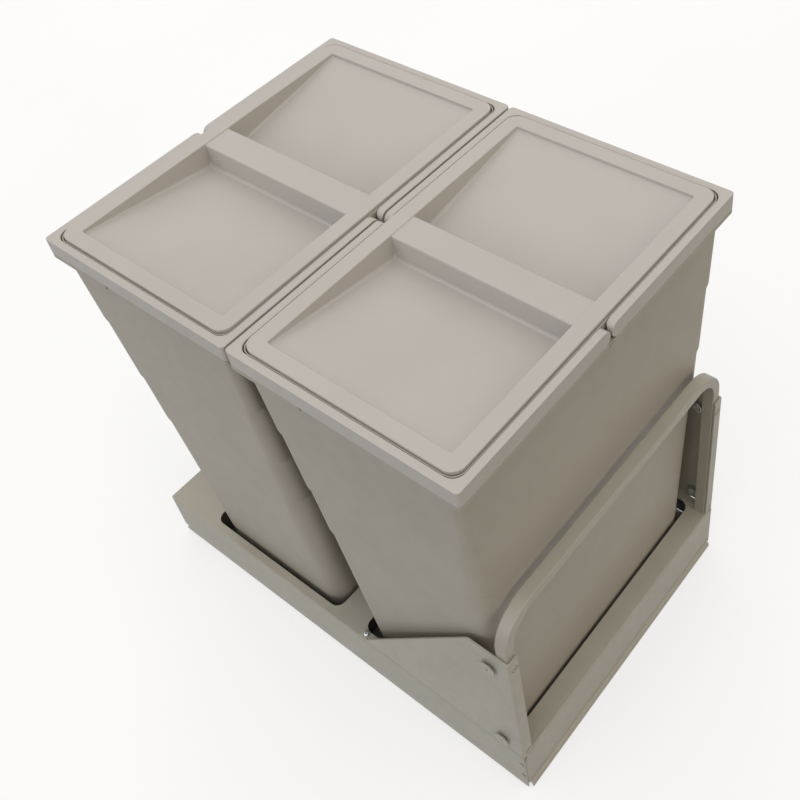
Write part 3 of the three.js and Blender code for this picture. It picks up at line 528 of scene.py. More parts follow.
def fastener_tree():
    """Turns a head and shank about each point's own axis, head outwards, top at the point."""
    tree = bpy.data.node_groups.new("turned_fastener", "GeometryNodeTree")

    def socket(label, kind, in_out="INPUT"):
        tree.interface.new_socket(label, in_out=in_out, socket_type=f"NodeSocket{kind}")

    socket("Geometry", "Geometry", "OUTPUT")
    socket("Geometry", "Geometry")
    for label in ("Head Radius", "Head Height", "Rim Height", "Sink", "Shank Radius", "Length",
                  "Edge Round"):
        socket(label, "Float")
    socket("Sides", "Int")
    socket("Material", "Material")
    given = add(tree, "NodeGroupInput").outputs

    def corner(radius, below_top):
        return add(tree, "ShaderNodeCombineXYZ", None, X=radius, Y=below_top).outputs[0]

    seat = given["Head Height"]
    under = calculated(tree, "ADD", seat, given["Sink"])
    rim = calculated(tree, "SUBTRACT", seat, given["Rim Height"])
    crown = calculated(tree, "SUBTRACT", given["Head Radius"], given["Edge Round"])
    corners = [corner(0.0, given["Length"]), corner(given["Shank Radius"], given["Length"]),
               corner(given["Shank Radius"], under), corner(given["Head Radius"], seat),
               corner(given["Head Radius"], rim), corner(crown, 0.0), corner(0.0, 0.0)]
    choose = add(tree, "GeometryNodeIndexSwitch", {"data_type": "VECTOR"})
    while len(choose.index_switch_items) < len(corners):
        choose.index_switch_items.new()
    index = add(tree, "GeometryNodeInputIndex").outputs[0]
    tree.links.new(index, choose.inputs["Index"])
    for i, point in enumerate(corners):
        tree.links.new(point, choose.inputs[i + 1])
    line = add(tree, "GeometryNodeMeshLine", None, Count=len(corners)).outputs[0]
    placed = add(tree, "GeometryNodeSetPosition", None, Geometry=line, Position=choose.outputs[0])
    profile = add(tree, "GeometryNodeMeshToCurve", None, Mesh=placed.outputs[0]).outputs[0]
    rounding = calculated(tree, "MULTIPLY", given["Edge Round"], 0.5)
    eased_profile = add(tree, "GeometryNodeFilletCurve", {"mode": "POLY"}, Curve=profile, Count=4,
                        Radius=rounding, Limit_Radius=True).outputs[0]
    axis = add(tree, "GeometryNodeCurvePrimitiveCircle", None, Resolution=given["Sides"],
               Radius=AXIS_RADIUS)
    turned = add(tree, "GeometryNodeCurveToMesh", None, Curve=axis.outputs[0],
                 Profile_Curve=eased_profile).outputs[0]
    whole = add(tree, "GeometryNodeMergeByDistance", None, Geometry=turned,
                Distance=TURNED_MERGE).outputs[0]
    facing = add(tree, "GeometryNodeInputNamedAttribute", {"data_type": "FLOAT_VECTOR"},
                 Name="axis")
    turn = add(tree, "FunctionNodeAlignRotationToVector", {"axis": "Z"}, Vector=facing.outputs[0])
    copies = add(tree, "GeometryNodeInstanceOnPoints", None, Points=given["Geometry"],
                 Instance=whole, Rotation=turn.outputs[0]).outputs[0]
    real = add(tree, "GeometryNodeRealizeInstances", None, Geometry=copies).outputs[0]
    done = add(tree, "GeometryNodeSetMaterial", None, Geometry=real, Material=given["Material"])
    add(tree, "NodeGroupOutput", None, Geometry=done.outputs[0])
    return tree


FASTENER = fastener_tree()


def outer_end(node, axis):
    """Point in the middle of the face that a node turns to an axis, in millimetres."""
    low, high = millimetres(node)
    middle = (low + high) / 2
    reach = (high - low) / 2
    return middle + Vector(a * r for a, r in zip(axis, reach))


def fasteners(name, body, slot, material, nodes, axes, recess=None, **sizes):
    """Turned fasteners of one kind on one body, standing for CAD nodes, with a drive recess."""
    mesh = bpy.data.meshes.new(name)
    places = [outer_end(node, axis) for node, axis in zip(nodes, axes)]
    mesh.from_pydata([place * MM for place in places], [], [])
    direction = mesh.attributes.new("axis", "FLOAT_VECTOR", "POINT")
    direction.data.foreach_set("vector", [c for axis in axes for c in axis])
    obj = in_scene(name, mesh)
    modifier = obj.modifiers.new("turned", "NODES")
    modifier.node_group = FASTENER
    for item in FASTENER.interface.items_tree:
        if item.in_out == "OUTPUT" or item.name == "Geometry":
            continue
        if item.name == "Material":
            modifier[item.identifier] = material
        elif item.name == "Sides":
            modifier[item.identifier] = sizes["sides"]
        else:
            modifier[item.identifier] = sizes[item.name.lower().replace(" ", "_")] * MM
    bake(obj)
    with edited(obj.data) as shape:
        bmesh.ops.remove_doubles(shape, verts=shape.verts, dist=TURNED_MERGE)
        bmesh.ops.recalc_face_normals(shape, faces=shape.faces)
    if recess:
        for place, axis in zip(places, axes):
            combine(obj, "DIFFERENCE", drive_recess(place, axis, **recess))
    softened(obj, HEAD_EDGE, 2, 40)
    return finish(obj, body, slot, material, *nodes)


def drive_recess(place, axis, radius, depth, arms=0):
    """Cutter of a hexagon socket, or of a cross recess if it has arms of a width."""
    if arms:
        w = arms / 2
        points = [(radius, -w), (radius, w), (w, w), (w, radius), (-w, radius), (-w, w),
                  (-radius, w), (-radius, -w), (-w, -w), (-w, -radius), (w, -radius), (w, -w)]
    else:
        points = circle(0, 0, radius, 6)
    cutter = prism("recess", points, "z", -depth, OVERCUT)
    turn = Vector((0, 0, 1)).rotation_difference(Vector(axis)).to_matrix().to_4x4()
    cutter.data.transform(Matrix.Translation(place * MM) @ turn)
    return cutter


# ---------------------------------------------------------------- carriage tray

def bin_edges(place):
    """Front and rear of a bin's rim."""
    low, high = millimetres(f"bin_{place}")
    return low.y, high.y


def lip_bottom():
    """Height of the underside of the bins' lips."""
    return millimetres("bin_front")[1].z - BAIL_HEIGHT - BAIL_REST_GAP - LIP_HEIGHT


def body_inset(inset, draft, height):
    """How far a bin's wall stands inside its rim at a height."""
    return inset + draft * (lip_bottom() - height)


def deck_tray():
    """Folded tray: deck with two cut-outs, side skirts, front skirt, rear hem and corner tabs."""
    low, high = millimetres("deck_tray")
    half, top, front, rear = high.x, high.z, low.y, high.y
    across = folded([(half, SKIRT_FLOOR_GAP), (half, top, TRAY_BEND), (-half, top, TRAY_BEND),
                     (-half, SKIRT_FLOOR_GAP)], TRAY_SHEET)
    tray = prism("deck_tray_skin", outline(across), "y", front + CORNER_SEAM[0], rear)
    rounded_front = outline([(rear + OVERCUT, top), (front, top, TRAY_BEND), (front, -OVERCUT),
                             (rear + OVERCUT, -OVERCUT)])
    combine(tray, "INTERSECT",
            prism("rounded_front", rounded_front, "x", -half - OVERCUT, half + OVERCUT))
    ahead = folded([(front + 2 * SKIRT_RELIEF, top), (front, top, TRAY_BEND),
                    (front, FRONT_SKIRT_FLOOR_GAP)], TRAY_SHEET)
    end = half - CORNER_SEAM[1]
    front_skirt = prism("front_skirt", outline(ahead), "x", -end, end)
    strip_rear = front + 2 * SKIRT_RELIEF
    for _, s in SIDES:
        relief = block("relief",
                       (s * (half - SKIRT_RELIEF), front - OVERCUT, top - SKIRT_RELIEF),
                       (s * (half + OVERCUT), strip_rear + OVERCUT, top + OVERCUT))
        combine(front_skirt, "DIFFERENCE", relief)
    combine(tray, "UNION", front_skirt)
    hem = block("hem", (-half + SKIRT_RELIEF, rear - TRAY_SHEET, top - REAR_HEM),
                (half - SKIRT_RELIEF, rear, top - TRAY_SHEET / 2))
    combine(tray, "UNION", hem)
    depth, margin, gap = CORNER_TAB
    inside = half - TRAY_SHEET - gap
    for _, s in SIDES:
        tab = block("tab", (s * inside, front + TRAY_SHEET / 2, FRONT_SKIRT_FLOOR_GAP + margin),
                    (s * (inside - TRAY_SHEET), front + TRAY_SHEET + depth,
                     top - SKIRT_RELIEF - margin))
        combine(tray, "UNION", tab)
    for place in PLACES:
        near, far = bin_edges(place)
        near += body_inset(BODY_INSET_ENDS, DRAFT_FRONT, top) - CUT_ROOM[0]
        far -= body_inset(BODY_INSET_ENDS, DRAFT_REAR, top) - CUT_ROOM[1]
        side = half - TRAY_RIM
        cut = outline([(-side, near, CUT_RADIUS), (side, near, CUT_RADIUS),
                       (side, far, CUT_RADIUS), (-side, far, CUT_RADIUS)], 12)
        combine(tray, "DIFFERENCE", prism("cut", cut, "z", top - DECK_DRILL, top + OVERCUT))
    for side, s in SIDES:
        outside = s * (half + OVERCUT)
        bored(tray, rear, NOTCH_HEIGHT, NOTCH_RADIUS, "x", s * (half - NOTCH_DEPTH), outside, 32)
        for i in (1, 2):
            rivet = outer_end(f"corner_rivet_{side}_{i}", (s, 0, 0))
            bored(tray, rivet.y, rivet.z, RIVET_HOLE, "x", s * (half - TAB_DRILL), outside)
        screw = outer_end(f"deck_screw_{side}", (0, 0, 1))
        bored(tray, screw.x, screw.y, SCREW_HOLE, "z", top - DECK_DRILL, top + OVERCUT)
    softened(tray, SHEET_EDGE)
    return finish(tray, "carriage", "painted_steel", PAINTED, "deck_tray")


# ---------------------------------------------------------------- door brackets and front rail

def door_bracket(side, s):
    """Bracket bent from one sheet: side plate, front flange for the door, foot on the deck."""
    low, high = millimetres(f"bracket_{side}")
    outer = high.x if s > 0 else -low.x
    front, bottom, top, foot_rear = low.y, low.z, high.z, high.y
    plan = folded([(outer - BRACKET_FLANGE, front), (outer, front, BRACKET_BEND),
                   (outer, foot_rear)], BRACKET_SHEET)
    bracket = prism(f"bracket_{side}_skin", [(s * u, v) for u, v in outline(plan)], "z",
                    bottom - OVERCUT, top + OVERCUT)
    lift, closing, closed = BRACKET_LIFT
    seam = bottom + BRACKET_SEAM
    sloped = outline([(front - OVERCUT, bottom + lift), (front - OVERCUT, top),
                      (front + BRACKET_TOP_DEPTH, top, BRACKET_CORNER),
                      (front + BRACKET_FOOT_DEPTH, seam),
                      (front + closed, seam), (front + closing, bottom + lift)])
    outside = s * (outer + OVERCUT)
    combine(bracket, "INTERSECT",
            prism("profile", sloped, "x", s * (outer - BRACKET_FLANGE - PROFILE_ROOM), outside))
    foot_front = front + BRACKET_SHEET + RAIL_GAP + TUBE_DEPTH + OVERCUT
    edge = outer - FOOT_OVERLAP
    inner_edge = outer - FOOT_WIDTH
    foot = outline([(s * edge, foot_front), (s * edge, foot_rear, FOOT_CORNERS[0]),
                    (s * inner_edge, foot_rear, FOOT_CORNERS[1]), (s * inner_edge, foot_front)])
    combine(bracket, "UNION", prism("foot", foot, "z", bottom, bottom + FOOT_SHEET))
    for i in (1, 2):
        bolt = outer_end(f"disc_bolt_{side}_{i}", (s, 0, 0))
        screw = outer_end(f"rail_screw_{side}_{i}", (0, -1, 0))
        bored(bracket, bolt.y, bolt.z, BOLT_HOLE, "x", s * (outer - PLATE_DRILL), outside, 32)
        bored(bracket, screw.x, screw.z, SCREW_SINK[0], "y", front - OVERCUT,
              front + SCREW_SINK[1], 32)
        bored(bracket, screw.x, screw.z, SCREW_HOLE, "y", front - OVERCUT,
              front + BRACKET_SHEET * 2, 32)
    screw = outer_end(f"deck_screw_{side}", (0, 0, 1))
    bored(bracket, screw.x, screw.y, SCREW_HOLE, "z", bottom - OVERCUT, bottom + FOOT_SHEET * 2)
    softened(bracket, BRACKET_EDGE)
    return finish(bracket, "carriage", "painted_steel", PAINTED, f"bracket_{side}")


def tube_rings(margin):
    """Rings of the rail's rounded section, up one leg, round the bends and down the other."""
    low, high = millimetres("front_rail")
    middle = (low.y + high.y) / 2
    leg = high.x - TUBE_WIDTH / 2
    turn = TUBE_BEND - TUBE_WIDTH / 2
    top = high.z - TUBE_WIDTH / 2
    half_width = TUBE_WIDTH / 2 - margin
    half_depth = TUBE_DEPTH / 2 - margin
    section = outline([(u * half_width, v * half_depth, max(TUBE_EDGE - margin, TUBE_INNER_EDGE))
                       for u, v in ((-1, -1), (1, -1), (1, 1), (-1, 1))], 6)

    def ring(x, z, angle):
        return [(x + u * math.cos(angle), middle + v, z + u * math.sin(angle)) for u, v in section]

    rings = [ring(-leg, low.z, 0)]
    for s, start in ((-1, 0), (1, 1)):
        for k in range(BEND_STEPS + 1):
            angle = math.pi / 2 * (start + k / BEND_STEPS)
            x = s * leg - turn * (s + math.cos(angle))
            rings.append(ring(x, top - turn * (1 - math.sin(angle)), -angle))
    rings.append(ring(leg, low.z, -math.pi))
    return rings


def front_rail():
    """Bent oval-edged tube between the brackets, open at its feet."""
    inner = tube_rings(TUBE_WALL)
    rail = loft("front_rail_skin", tube_rings(0) + inner[::-1], closed_ends=False)
    flattened(rail)
    return finish(rail, "carriage", "painted_steel", PAINTED, "front_rail")


# ---------------------------------------------------------------- bins

def plan_ring(box, side, near, far, corner, z):
    """Points round a bin's plan, from the front left corner; the lip's finger cuts are in them."""
    low, high = box
    half, front, rear = high.x - side, low.y + near, high.y - far
    on_lip = z > lip_bottom() - TOUCH
    cut = max(0.0, BODY_INSET_SIDE - FINGER_CUT_ROOM - side) if on_lip else 0.0
    middle = (low.y + high.y) / 2
    run = [(middle - FINGER_CUT / 2 - along, share * cut) for along, share in NOTCH_EDGE]
    run += [(2 * middle - y, depth) for y, depth in run[::-1]]
    ring = []
    corners = ((-1, front, 1), (1, front, 1), (1, rear, -1), (-1, rear, -1))
    for i, (sx, y, sy) in enumerate(corners):
        for k in range(CORNER_STEPS + 1):
            angle = math.pi + math.pi / 2 * (i + k / CORNER_STEPS)
            ring.append((sx * (half - corner) + corner * math.cos(angle),
                         y + sy * corner + corner * math.sin(angle), z))
        if i == 1:
            ring += [(half - depth, y, z) for y, depth in run]
        if i == 3:
            ring += [(-half + depth, y, z) for y, depth in run[::-1]]
    return ring


def bin_path(bottom, rim):
    """Path over a bin's skin from under its bottom, over the rim, to its inner bottom."""
    lip = lip_bottom()
    lip_top = lip + LIP_HEIGHT

    def wall(height, corner, thickness, ease, more=0.0):
        inset = thickness + more
        return (body_inset(BODY_INSET_SIDE, DRAFT_SIDE, height) + inset,
                body_inset(BODY_INSET_ENDS, DRAFT_FRONT, height) + inset,
                body_inset(BODY_INSET_ENDS, DRAFT_REAR, height) + inset,
                corner - inset, height, ease)

    def storeys(thickness):
        rows = []
        next_corners = [corner for _, corner in STOREYS[1:]] + [FOOT_CORNER]
        for (drop, corner), next_corner in zip(STOREYS, next_corners):
            rows += [wall(rim - drop + STOREY_STEP / 2, corner, thickness, STOREY_EASE),
                     wall(rim - drop - STOREY_STEP / 2, next_corner, thickness, STOREY_EASE)]
        return rows

    inner_neck = NECK_INSET + NECK_WALL
    inner_corner = NECK_CORNER - NECK_WALL
    shelf = inner_neck + SHELF_WIDTH

    def even(inset, corner, height, ease):
        return (inset, inset, inset, corner, height, ease)

    neck_top = rim - NECK_DROP
    path = [wall(bottom, FOOT_CORNER, 0, 0, BOTTOM_MARGIN), wall(bottom, FOOT_CORNER, 0, 4)]
    path += storeys(0)[::-1]
    path += [wall(lip, STOREYS[0][1], 0, 0.8),
             even(0, LIP_CORNER, lip, 0.6),
             even(0, LIP_CORNER, lip_top, 0.7),
             even(NECK_INSET, NECK_CORNER, lip_top, 0.8),
             even(NECK_INSET, NECK_CORNER, neck_top, 0.35),
             even(inner_neck, inner_corner, neck_top, 0.35),
             even(inner_neck, inner_corner, lip_top, 0.8),
             even(shelf, inner_corner, lip_top, 0.6),
             even(shelf, inner_corner, lip, 0.6),
             wall(lip, STOREYS[0][1], BIN_WALL, 0.6)]
    path += storeys(BIN_WALL)
    path += [wall(bottom + BIN_WALL, FOOT_CORNER, BIN_WALL, 4),
             wall(bottom + BIN_WALL, FOOT_CORNER, BIN_WALL, 0, BOTTOM_MARGIN)]
    return path


def moulded_bin(place):
    """Tapered bin with stepped corners, a lip, a neck with a ledge for the lid, and bail pins."""
    box = millimetres(f"bin_{place}")
    low, high = box
    rings = [plan_ring(box, *values) for values in eased(bin_path(low.z, high.z), 4)]
    body = loft(f"bin_{place}_skin", rings)
    pivot = high.z - BAIL_HEIGHT / 2
    offset = (BAIL_HEIGHT + BAIL_END_GAP) / 2
    for _, s in SIDES:
        for y, out in ((low.y + NECK_INSET, -1), (high.y - NECK_INSET, 1)):
            pin = prism("pin", circle(s * offset, pivot, PIVOT_PIN, 24), "y",
                        y - out, y + out * PIVOT_PIN_LENGTH)
            combine(body, "UNION", pin)
    half_stop, foot, head, height = BAIL_STOP
    for y, out in ((low.y, -1), (high.y, 1)):
        bump = outline([(-half_stop, pivot - foot, 1), (half_stop, pivot - foot, 1),
                        (half_stop, pivot - head, 1.6), (-half_stop, pivot - head, 1.6)])
        combine(body, "UNION", prism("stop", bump, "y", y - out, y + out * height))
    flattened(tidied(body, 0.05))
    return finish(body, f"{place}_bin", "bin_plastic", BIN_PLASTIC_PAINTED_SHADE, f"bin_{place}")


def bail(place, side, s):
    """Half of a bin's bail: it lies round one side of the rim, its round ends at the pivots."""
    low, high = millimetres(f"bin_{place}")
    half, front, rear, rim = high.x, low.y, high.y, high.z
    pivot = (BAIL_HEIGHT + BAIL_END_GAP) / 2
    end = BAIL_END_GAP / 2
    plan = [(end, front), (half, front, BAIL_CORNER), (half, rear, BAIL_CORNER), (end, rear),
            (end, rear - BAIL_THICKNESS, BAIL_END_ROUND),
            (half - BAIL_THICKNESS, rear - BAIL_THICKNESS, BAIL_INNER_CORNER),
            (half - BAIL_THICKNESS, front + BAIL_THICKNESS, BAIL_INNER_CORNER),
            (end, front + BAIL_THICKNESS, BAIL_END_ROUND)]
    body = prism(f"bail_{place}_{side}_skin", [(s * u, v) for u, v in outline(plan, 10)], "z",
                 rim - BAIL_HEIGHT - OVERCUT, rim + OVERCUT)
    radius = BAIL_HEIGHT / 2
    round_end = radius - TOUCH
    rise = outline([(half + OVERCUT, rim - BAIL_HEIGHT), (half + OVERCUT, rim),
                    (end, rim, round_end), (end, rim - BAIL_HEIGHT, round_end)], 14)
    combine(body, "INTERSECT", prism("rise", [(s * u, v) for u, v in rise], "y",
                                     front - OVERCUT, rear + OVERCUT))
    depth = PIVOT_PIN_LENGTH - (NECK_INSET - BAIL_THICKNESS) + PIVOT_PLAY
    for y, out in ((front + BAIL_THICKNESS, -1), (rear - BAIL_THICKNESS, 1)):
        bored(body, s * pivot, rim - radius, PIVOT_PIN + PIVOT_PLAY, "y", y - out, y + out * depth)
    softened(body, BAIL_EDGE, 3, 35)
    return finish(body, f"{place}_bail_{side}", "lid_plastic", LID_PLASTIC, f"bail_{place}_{side}")


# ---------------------------------------------------------------- lids

def lid_columns(half_x, offset):
    """(x, narrowing, depth) from the middle of the bar to the lid's end band, for one skin."""
    end = half_x - LID_BAND_SIDE + offset
    bar = LID_BAR_HALF - offset
    foot = bar + LID_BAR_LEAN
    corner = LID_DISH_CORNER + offset
    rise = (LID_DISH_DEPTH - LID_DISH_STEP) / (end - foot)
    turn = [end - corner * (1 - math.sin(math.pi / 2 * k / FILLET_STEPS))
            for k in range(FILLET_STEPS)]
    path = [(0, LID_BAR_DROP, 0), (bar, LID_BAR_DROP, LID_BAR_EDGE),
            (foot, LID_DISH_DEPTH, LID_BAR_FOOT)]
    path += [(x, LID_DISH_STEP + rise * (end - x), 0) for x in turn if x < end - LID_LAST_COLUMN]
    path += [(end, LID_DISH_STEP, LID_STEP_EDGE), (end, 0, LID_DISH_EDGE),
             (half_x - LID_CORNER, 0, 0)]
    columns = []
    for x, depth in eased(path):
        into_turn = max(0.0, x - end + corner) if depth > 0 else 0.0
        columns.append((x, corner - math.sqrt(max(0.0, corner ** 2 - into_turn ** 2)), depth))
    return columns


def lid_rows(half_y, dish_y, depth):
    """(y, depth) from the middle of the dish to the lid's band, over a dish of a depth."""
    foot = LID_LEAST_FOOT + LID_DISH_FOOT * min(1.0, depth / LID_DISH_FULL)
    edge = LID_DISH_EDGE
    squeeze = min(1.0, depth / (foot + edge))
    lean = LID_WALL_DRAFT * max(0.0, depth - foot - edge)
    rows = [(0, depth)]
    quarter = [math.pi / 2 * k / (FILLET_STEPS - 1) for k in range(FILLET_STEPS)]
    for angle in quarter:
        rows.append((dish_y - lean - foot * (1 - math.sin(angle)),
                     depth - squeeze * foot * (1 - math.cos(angle))))
    for angle in quarter:
        rows.append((dish_y + edge * (1 - math.cos(angle)),
                     squeeze * edge * (1 - math.sin(angle))))
    rows.append((half_y - LID_CORNER, 0))
    return rows


def lid_skin(half_x, half_y, middle, top, offset):
    """Grid of points over the lid's upper skin, or at an offset over its underside."""
    right = lid_columns(half_x, offset)
    columns = [(-x, narrow, depth) for x, narrow, depth in right[:0:-1]] + right
    grid = []
    for x, narrow, depth in columns:
        rows = lid_rows(half_y, half_y - LID_BAND_FRONT + offset - narrow, depth)
        line = [(x, middle - y, top - offset - z) for y, z in rows[:0:-1]]
        line += [(x, middle + y, top - offset - z) for y, z in rows]
        grid.append(line)
    return grid


def lid_rim(grid, inset, z):
    """Ring round the lid that stands outside the edge of a grid, with round corners."""
    width, depth = len(grid), len(grid[0])
    radius = LID_CORNER - inset
    runs = (([grid[i][0] for i in range(width)], -90), ([grid[-1][j] for j in range(depth)], 0),
            ([grid[i][-1] for i in range(width - 1, -1, -1)], 90),
            ([grid[0][j] for j in range(depth - 1, -1, -1)], 180))
    ring = []
    for points, heading in runs:
        out = Vector((math.cos(math.radians(heading)), math.sin(math.radians(heading)), 0))
        ring += [(p[0] + out.x * radius, p[1] + out.y * radius, z) for p in points]
        corner = points[-1]
        for k in range(1, CORNER_STEPS):
            angle = math.radians(heading + 90 * k / CORNER_STEPS)
            ring.append((corner[0] + radius * math.cos(angle),
                         corner[1] + radius * math.sin(angle), z))
    return ring


def grid_edge(grid):
    """The grid's own edge points, one for each point of a ring round the lid."""
    width, depth = len(grid), len(grid[0])
    last = (width - 1) * depth
    edge = []
    for run in (range(0, last + 1, depth), range(last, last + depth),
                range(last + depth - 1, -1, -depth), range(depth - 1, -1, -1)):
        edge += [*run] + [run[-1]] * (CORNER_STEPS - 1)
    return edge


def dished_lid(place):
    """Lid with a dish each side of a bar to lift it by, and a skirt that drops inside the neck."""
    low, high = millimetres(f"lid_{place}")
    half_x, half_y = (high.x - low.x) / 2, (high.y - low.y) / 2
    middle = (low.y + high.y) / 2
    upper = lid_skin(half_x, half_y, middle, high.z, 0)
    under = lid_skin(half_x, half_y, middle, high.z, LID_WALL)
    width, depth = len(upper), len(upper[0])
    ceiling = high.z - LID_WALL
    skirt = eased([(LID_MARGINS[0], high.z, 0), (0, high.z, LID_EDGE), (0, low.z, LID_SKIRT_EDGE),
                   (LID_WALL, low.z, LID_SKIRT_EDGE), (LID_WALL, ceiling, LID_INNER_EDGE),
                   (LID_WALL + LID_MARGINS[1], ceiling, 0)], 4)
    rings = [lid_rim(upper, inset, z) for inset, z in skirt]
    points = [p for line in upper for p in line]
    points += [p for line in under for p in line]
    base = len(points)
    points += [p for ring in rings for p in ring]
    count = len(rings[0])
    faces = []
    for start in (0, width * depth):
        for i in range(width - 1):
            for j in range(depth - 1):
                a = start + i * depth + j
                faces.append((a, a + 1, a + depth + 1, a + depth))
    edge = grid_edge(upper)
    bands = [edge, *[[base + r * count + k for k in range(count)] for r in range(len(rings))],
             [width * depth + e for e in edge]]
    for near, far in zip(bands, bands[1:]):
        for k in range(count):
            quad = (near[k], near[(k + 1) % count], far[(k + 1) % count], far[k])
            faces.append(tuple(dict.fromkeys(quad)))
    lid = new_object(f"lid_{place}_skin", points, [f for f in faces if len(f) > 2])
    flattened(lid)
    return finish(lid, f"{place}_lid", "lid_plastic", LID_PLASTIC, f"lid_{place}")


# ---------------------------------------------------------------- plain folded pieces

def base_bar(place, s):
    """Folded bar across the base, which stands out a little past the tray."""
    low, high = millimetres(f"base_{place}_bar")
    inside, outside = sorted((abs(low.y), abs(high.y)))
    inner_bend, outer_bend = BAR_BENDS
    section = folded([(outside, 0), (outside, high.z, outer_bend), (inside, high.z, inner_bend),
                      (inside, 0)], BAR_SHEET)
    bar = prism(f"base_{place}_bar_skin", [(s * u, v) for u, v in outline(section)], "x",
                low.x, high.x)
    softened(bar, SHEET_EDGE)
    return finish(bar, "base", "painted_steel", PAINTED, f"base_{place}_bar")


def refined(node, body, slot, material, radius=HIDDEN_EDGE):
    """A CAD piece whose shape is right, merged, with its sheet edges rounded."""
    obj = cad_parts[node].copy()
    obj.data = obj.data.copy()
    obj.name = f"{node}_skin"
    for key in list(obj.keys()):
        del obj[key]
    obj.parent = None
    bpy.context.scene.collection.objects.link(obj)
    softened(obj, radius, 2, 40)
    return finish(obj, body, slot, material, node)


# ---------------------------------------------------------------- camera, light and floor

SENSOR_WIDTH = 36
FOCAL_LENGTH = 48.93
LENS_SHIFT = (-0.0995, -0.1038)
CAMERA_PLACE = (-433.3, -538.8, 1058.4)
CAMERA_RIGHT = (0.6209, -0.7775, -0.0994)
CAMERA_FORWARD = (0.4943, 0.4869, -0.7202)
FLOOR_REACH = 4000
FLOOR_DROP = 0.2  # below the unit's feet
FLOOR_GLOW = 0.6  # share of the floor's own white; the rest takes the shadow
HORIZON, ZENITH = 0.14, 1.03  # strength of the world's light, from level and from above


def camera():
    """The photograph's view: a 49 mm lens on a 36 mm sensor, off the picture's middle."""
    data = bpy.data.cameras.new("camera")
    data.sensor_width = SENSOR_WIDTH
    data.lens = FOCAL_LENGTH
    data.shift_x, data.shift_y = LENS_SHIFT
    data.clip_end = 20
    obj = in_scene("camera", data)
    right = Vector(CAMERA_RIGHT).normalized()
    forward = Vector(CAMERA_FORWARD).normalized()
    up = right.cross(forward).normalized()
    right = forward.cross(up)
    turn = Matrix((right, up, -forward)).transposed()
    obj.matrix_world = Matrix.Translation(Vector(CAMERA_PLACE) * MM) @ turn.to_4x4()
    bpy.context.scene.camera = obj


def sun(name, direction, spread_degrees, strength, tint):
    """Even light from a direction, with soft shadows."""
    data = bpy.data.lights.new(name, "SUN")
    data.angle = math.radians(spread_degrees)
    data.energy = strength
    data.color = colour(tint)[:3]
    obj = in_scene(name, data)
    obj.rotation_euler = Vector(direction).to_track_quat("-Z", "Y").to_euler()


def looked_at(tree):
    """1 for rays from the camera and for what shines or lets through, 0 for scattered light."""
    path = add(tree, "ShaderNodeLightPath").outputs
    direct = calculated(tree, "MAXIMUM", path["Is Camera Ray"], path["Is Transmission Ray"])
    return calculated(tree, "MAXIMUM", direct, path["Is Glossy Ray"])


def surroundings():
    """White world for the camera and for what shines; for the light, a sky graded by height."""
    world = bpy.data.worlds.new("studio")
    bpy.context.scene.world = world
    world.use_nodes = True
    tree = world.node_tree
    tree.nodes.clear()
    towards = add(tree, "ShaderNodeTexCoord").outputs["Generated"]
    height = add(tree, "ShaderNodeSeparateXYZ", None, Vector=towards).outputs["Z"]
    strength = add(tree, "ShaderNodeMapRange", None, Value=height, To_Min=HORIZON, To_Max=ZENITH)
    ambient = add(tree, "ShaderNodeBackground", None, Color=colour(0xFFFBF3),
                  Strength=strength.outputs[0])
    white = add(tree, "ShaderNodeBackground", None, Color=(1, 1, 1, 1), Strength=1.0)
    mixed = add(tree, "ShaderNodeMixShader", None, Fac=looked_at(tree), _1=ambient.outputs[0],
                _2=white.outputs[0])
    add(tree, "ShaderNodeOutputWorld", None, Surface=mixed.outputs[0])


def floor():
    """Plain floor that keeps the unit's shadow: white to look at, grey in what it scatters."""
    material, tree, shader, place = surface("floor_matt", Roughness=0.9)
    tone = ramp(tree, noise(tree, place, 400, 2), colour(0xFBFBFB), colour(0xFFFFFF))
    looked = looked_at(tree)
    look = add(tree, "ShaderNodeMix", {"data_type": "RGBA"}, _0=looked, _6=colour(0x66625C),
               _7=tone)
    tree.links.new(look.outputs[2], shader.inputs["Base Color"])
    glow = add(tree, "ShaderNodeEmission", None, Color=(1, 1, 1, 1), Strength=1.0)
    share = calculated(tree, "MULTIPLY", looked, FLOOR_GLOW)
    paled = add(tree, "ShaderNodeMixShader", None, Fac=share, _1=shader.outputs[0],
                _2=glow.outputs[0])
    tree.links.new(paled.outputs[0], tree.nodes["Material Output"].inputs["Surface"])
    corners = [(u * FLOOR_REACH, v * FLOOR_REACH, -FLOOR_DROP)
               for u, v in ((-1, -1), (1, -1), (1, 1), (-1, 1))]
    obj = new_object("floor", corners, [(0, 1, 2, 3)])
    obj.data.materials.append(material)


# ---------------------------------------------------------------- the unit

deck_tray()
front_rail()
for side, s in SIDES:
    door_bracket(side, s)
for place in PLACES:
    moulded_bin(place)
    dished_lid(place)
    for side, s in SIDES:
        bail(place, side, s)

SIDEWAYS = [(s, 0, 0) for _, s in SIDES for _ in (1, 2)]
FORWARDS = [(0, -1, 0)] * 4
UPWARDS = [(0, 0, 1)]


def each_side(pattern, count=2):
    """Node names of a kind, both sides."""
    return [pattern.format(side, i + 1) for side, _ in SIDES for i in range(count)]


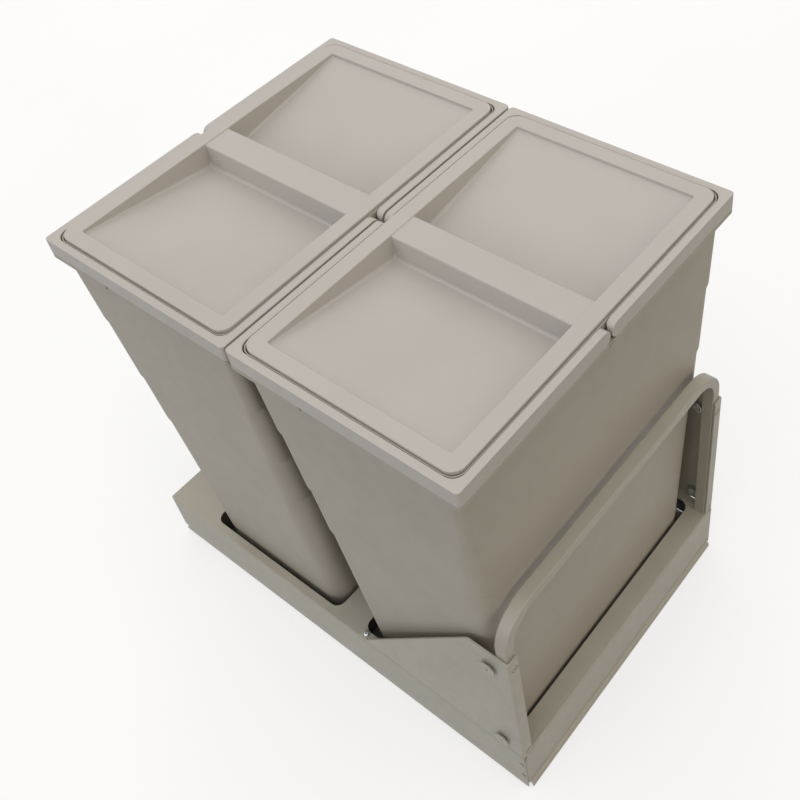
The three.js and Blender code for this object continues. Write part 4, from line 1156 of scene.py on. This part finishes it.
fasteners("disc_bolts", "carriage", "painted_head", PAINTED_HEAD,
          each_side("disc_bolt_{}_{}"), SIDEWAYS, recess={"radius": 1.5, "depth": 0.8},
          head_radius=8, head_height=0.9, rim_height=0.6, sink=0,
          shank_radius=3, length=11.1, edge_round=0.5, sides=64)
fasteners("corner_rivets", "carriage", "painted_head", PAINTED_HEAD,
          each_side("corner_rivet_{}_{}"), SIDEWAYS,
          head_radius=2.6, head_height=0.9, rim_height=0.35, sink=0,
          shank_radius=1.5, length=4.8, edge_round=1.1, sides=40)
fasteners("rail_screws", "carriage", "painted_head", PAINTED_HEAD,
          each_side("rail_screw_{}_{}"), FORWARDS,
          recess={"radius": 1.7, "depth": 1.1, "arms": 0.9},
          head_radius=2.7, head_height=0.35, rim_height=0.25, sink=SCREW_SINK[1],
          shank_radius=1.8, length=5.9, edge_round=0.15, sides=40)
fasteners("deck_screws", "carriage", "zinc_steel", ZINC_SCREW,
          each_side("deck_screw_{}", 1), UPWARDS * 2,
          recess={"radius": 1.7, "depth": 1.3, "arms": 0.75},
          head_radius=3.2, head_height=2.4, rim_height=1.2, sink=0,
          shank_radius=1.8, length=8.4, edge_round=1.6, sides=40)
fasteners("floor_screws", "base", "zinc_steel", ZINC_SCREW,
          each_side("floor_screw_{}_{}"), UPWARDS * 4,
          recess={"radius": 2.1, "depth": 1.2, "arms": 0.9},
          head_radius=4, head_height=2.2, rim_height=1.1, sink=0,
          shank_radius=2, length=3.4, edge_round=1.8, sides=40)

for side, _ in SIDES:
    refined(f"rail_{side}", "base", "painted_steel", PAINTED)
    refined(f"slide_outer_{side}", "base", "zinc_steel", ZINC)
    refined(f"slide_mid_{side}", f"mid_{side}", "zinc_steel", ZINC)
    refined(f"slide_inner_{side}", "carriage", "zinc_steel", ZINC)
    refined(f"cage_outer_{side}", f"outer_cage_{side}", "zinc_steel", ZINC, CAGE_EDGE)
    refined(f"cage_inner_{side}", f"inner_cage_{side}", "zinc_steel", ZINC, CAGE_EDGE)
    for i in (1, 2):
        refined(f"nut_{side}_{i}", "carriage", "zinc_steel", ZINC_SCREW, NUT_EDGE)
for place, s in (("front", -1), ("rear", 1)):
    base_bar(place, s)
for node in ("bin_pan", "pan_hanger"):
    refined(node, "carriage", "painted_steel", PAINTED)

camera()
surroundings()
floor()
sun("ceiling", (0.1, 0.05, -1), 45, 0.5, 0xE6EFFF)
sun("window", (1, -0.12, -0.3), 30, 0.66, 0xECF2FF)
sun("doorway", (0.05, 1, -0.35), 40, 0.4, 0xFFEBD0)
sun("far_walls", (-1, -1, -0.4), 60, 0.3, 0xFFFAF0)

bpy.context.scene.view_settings.view_transform = "Standard"
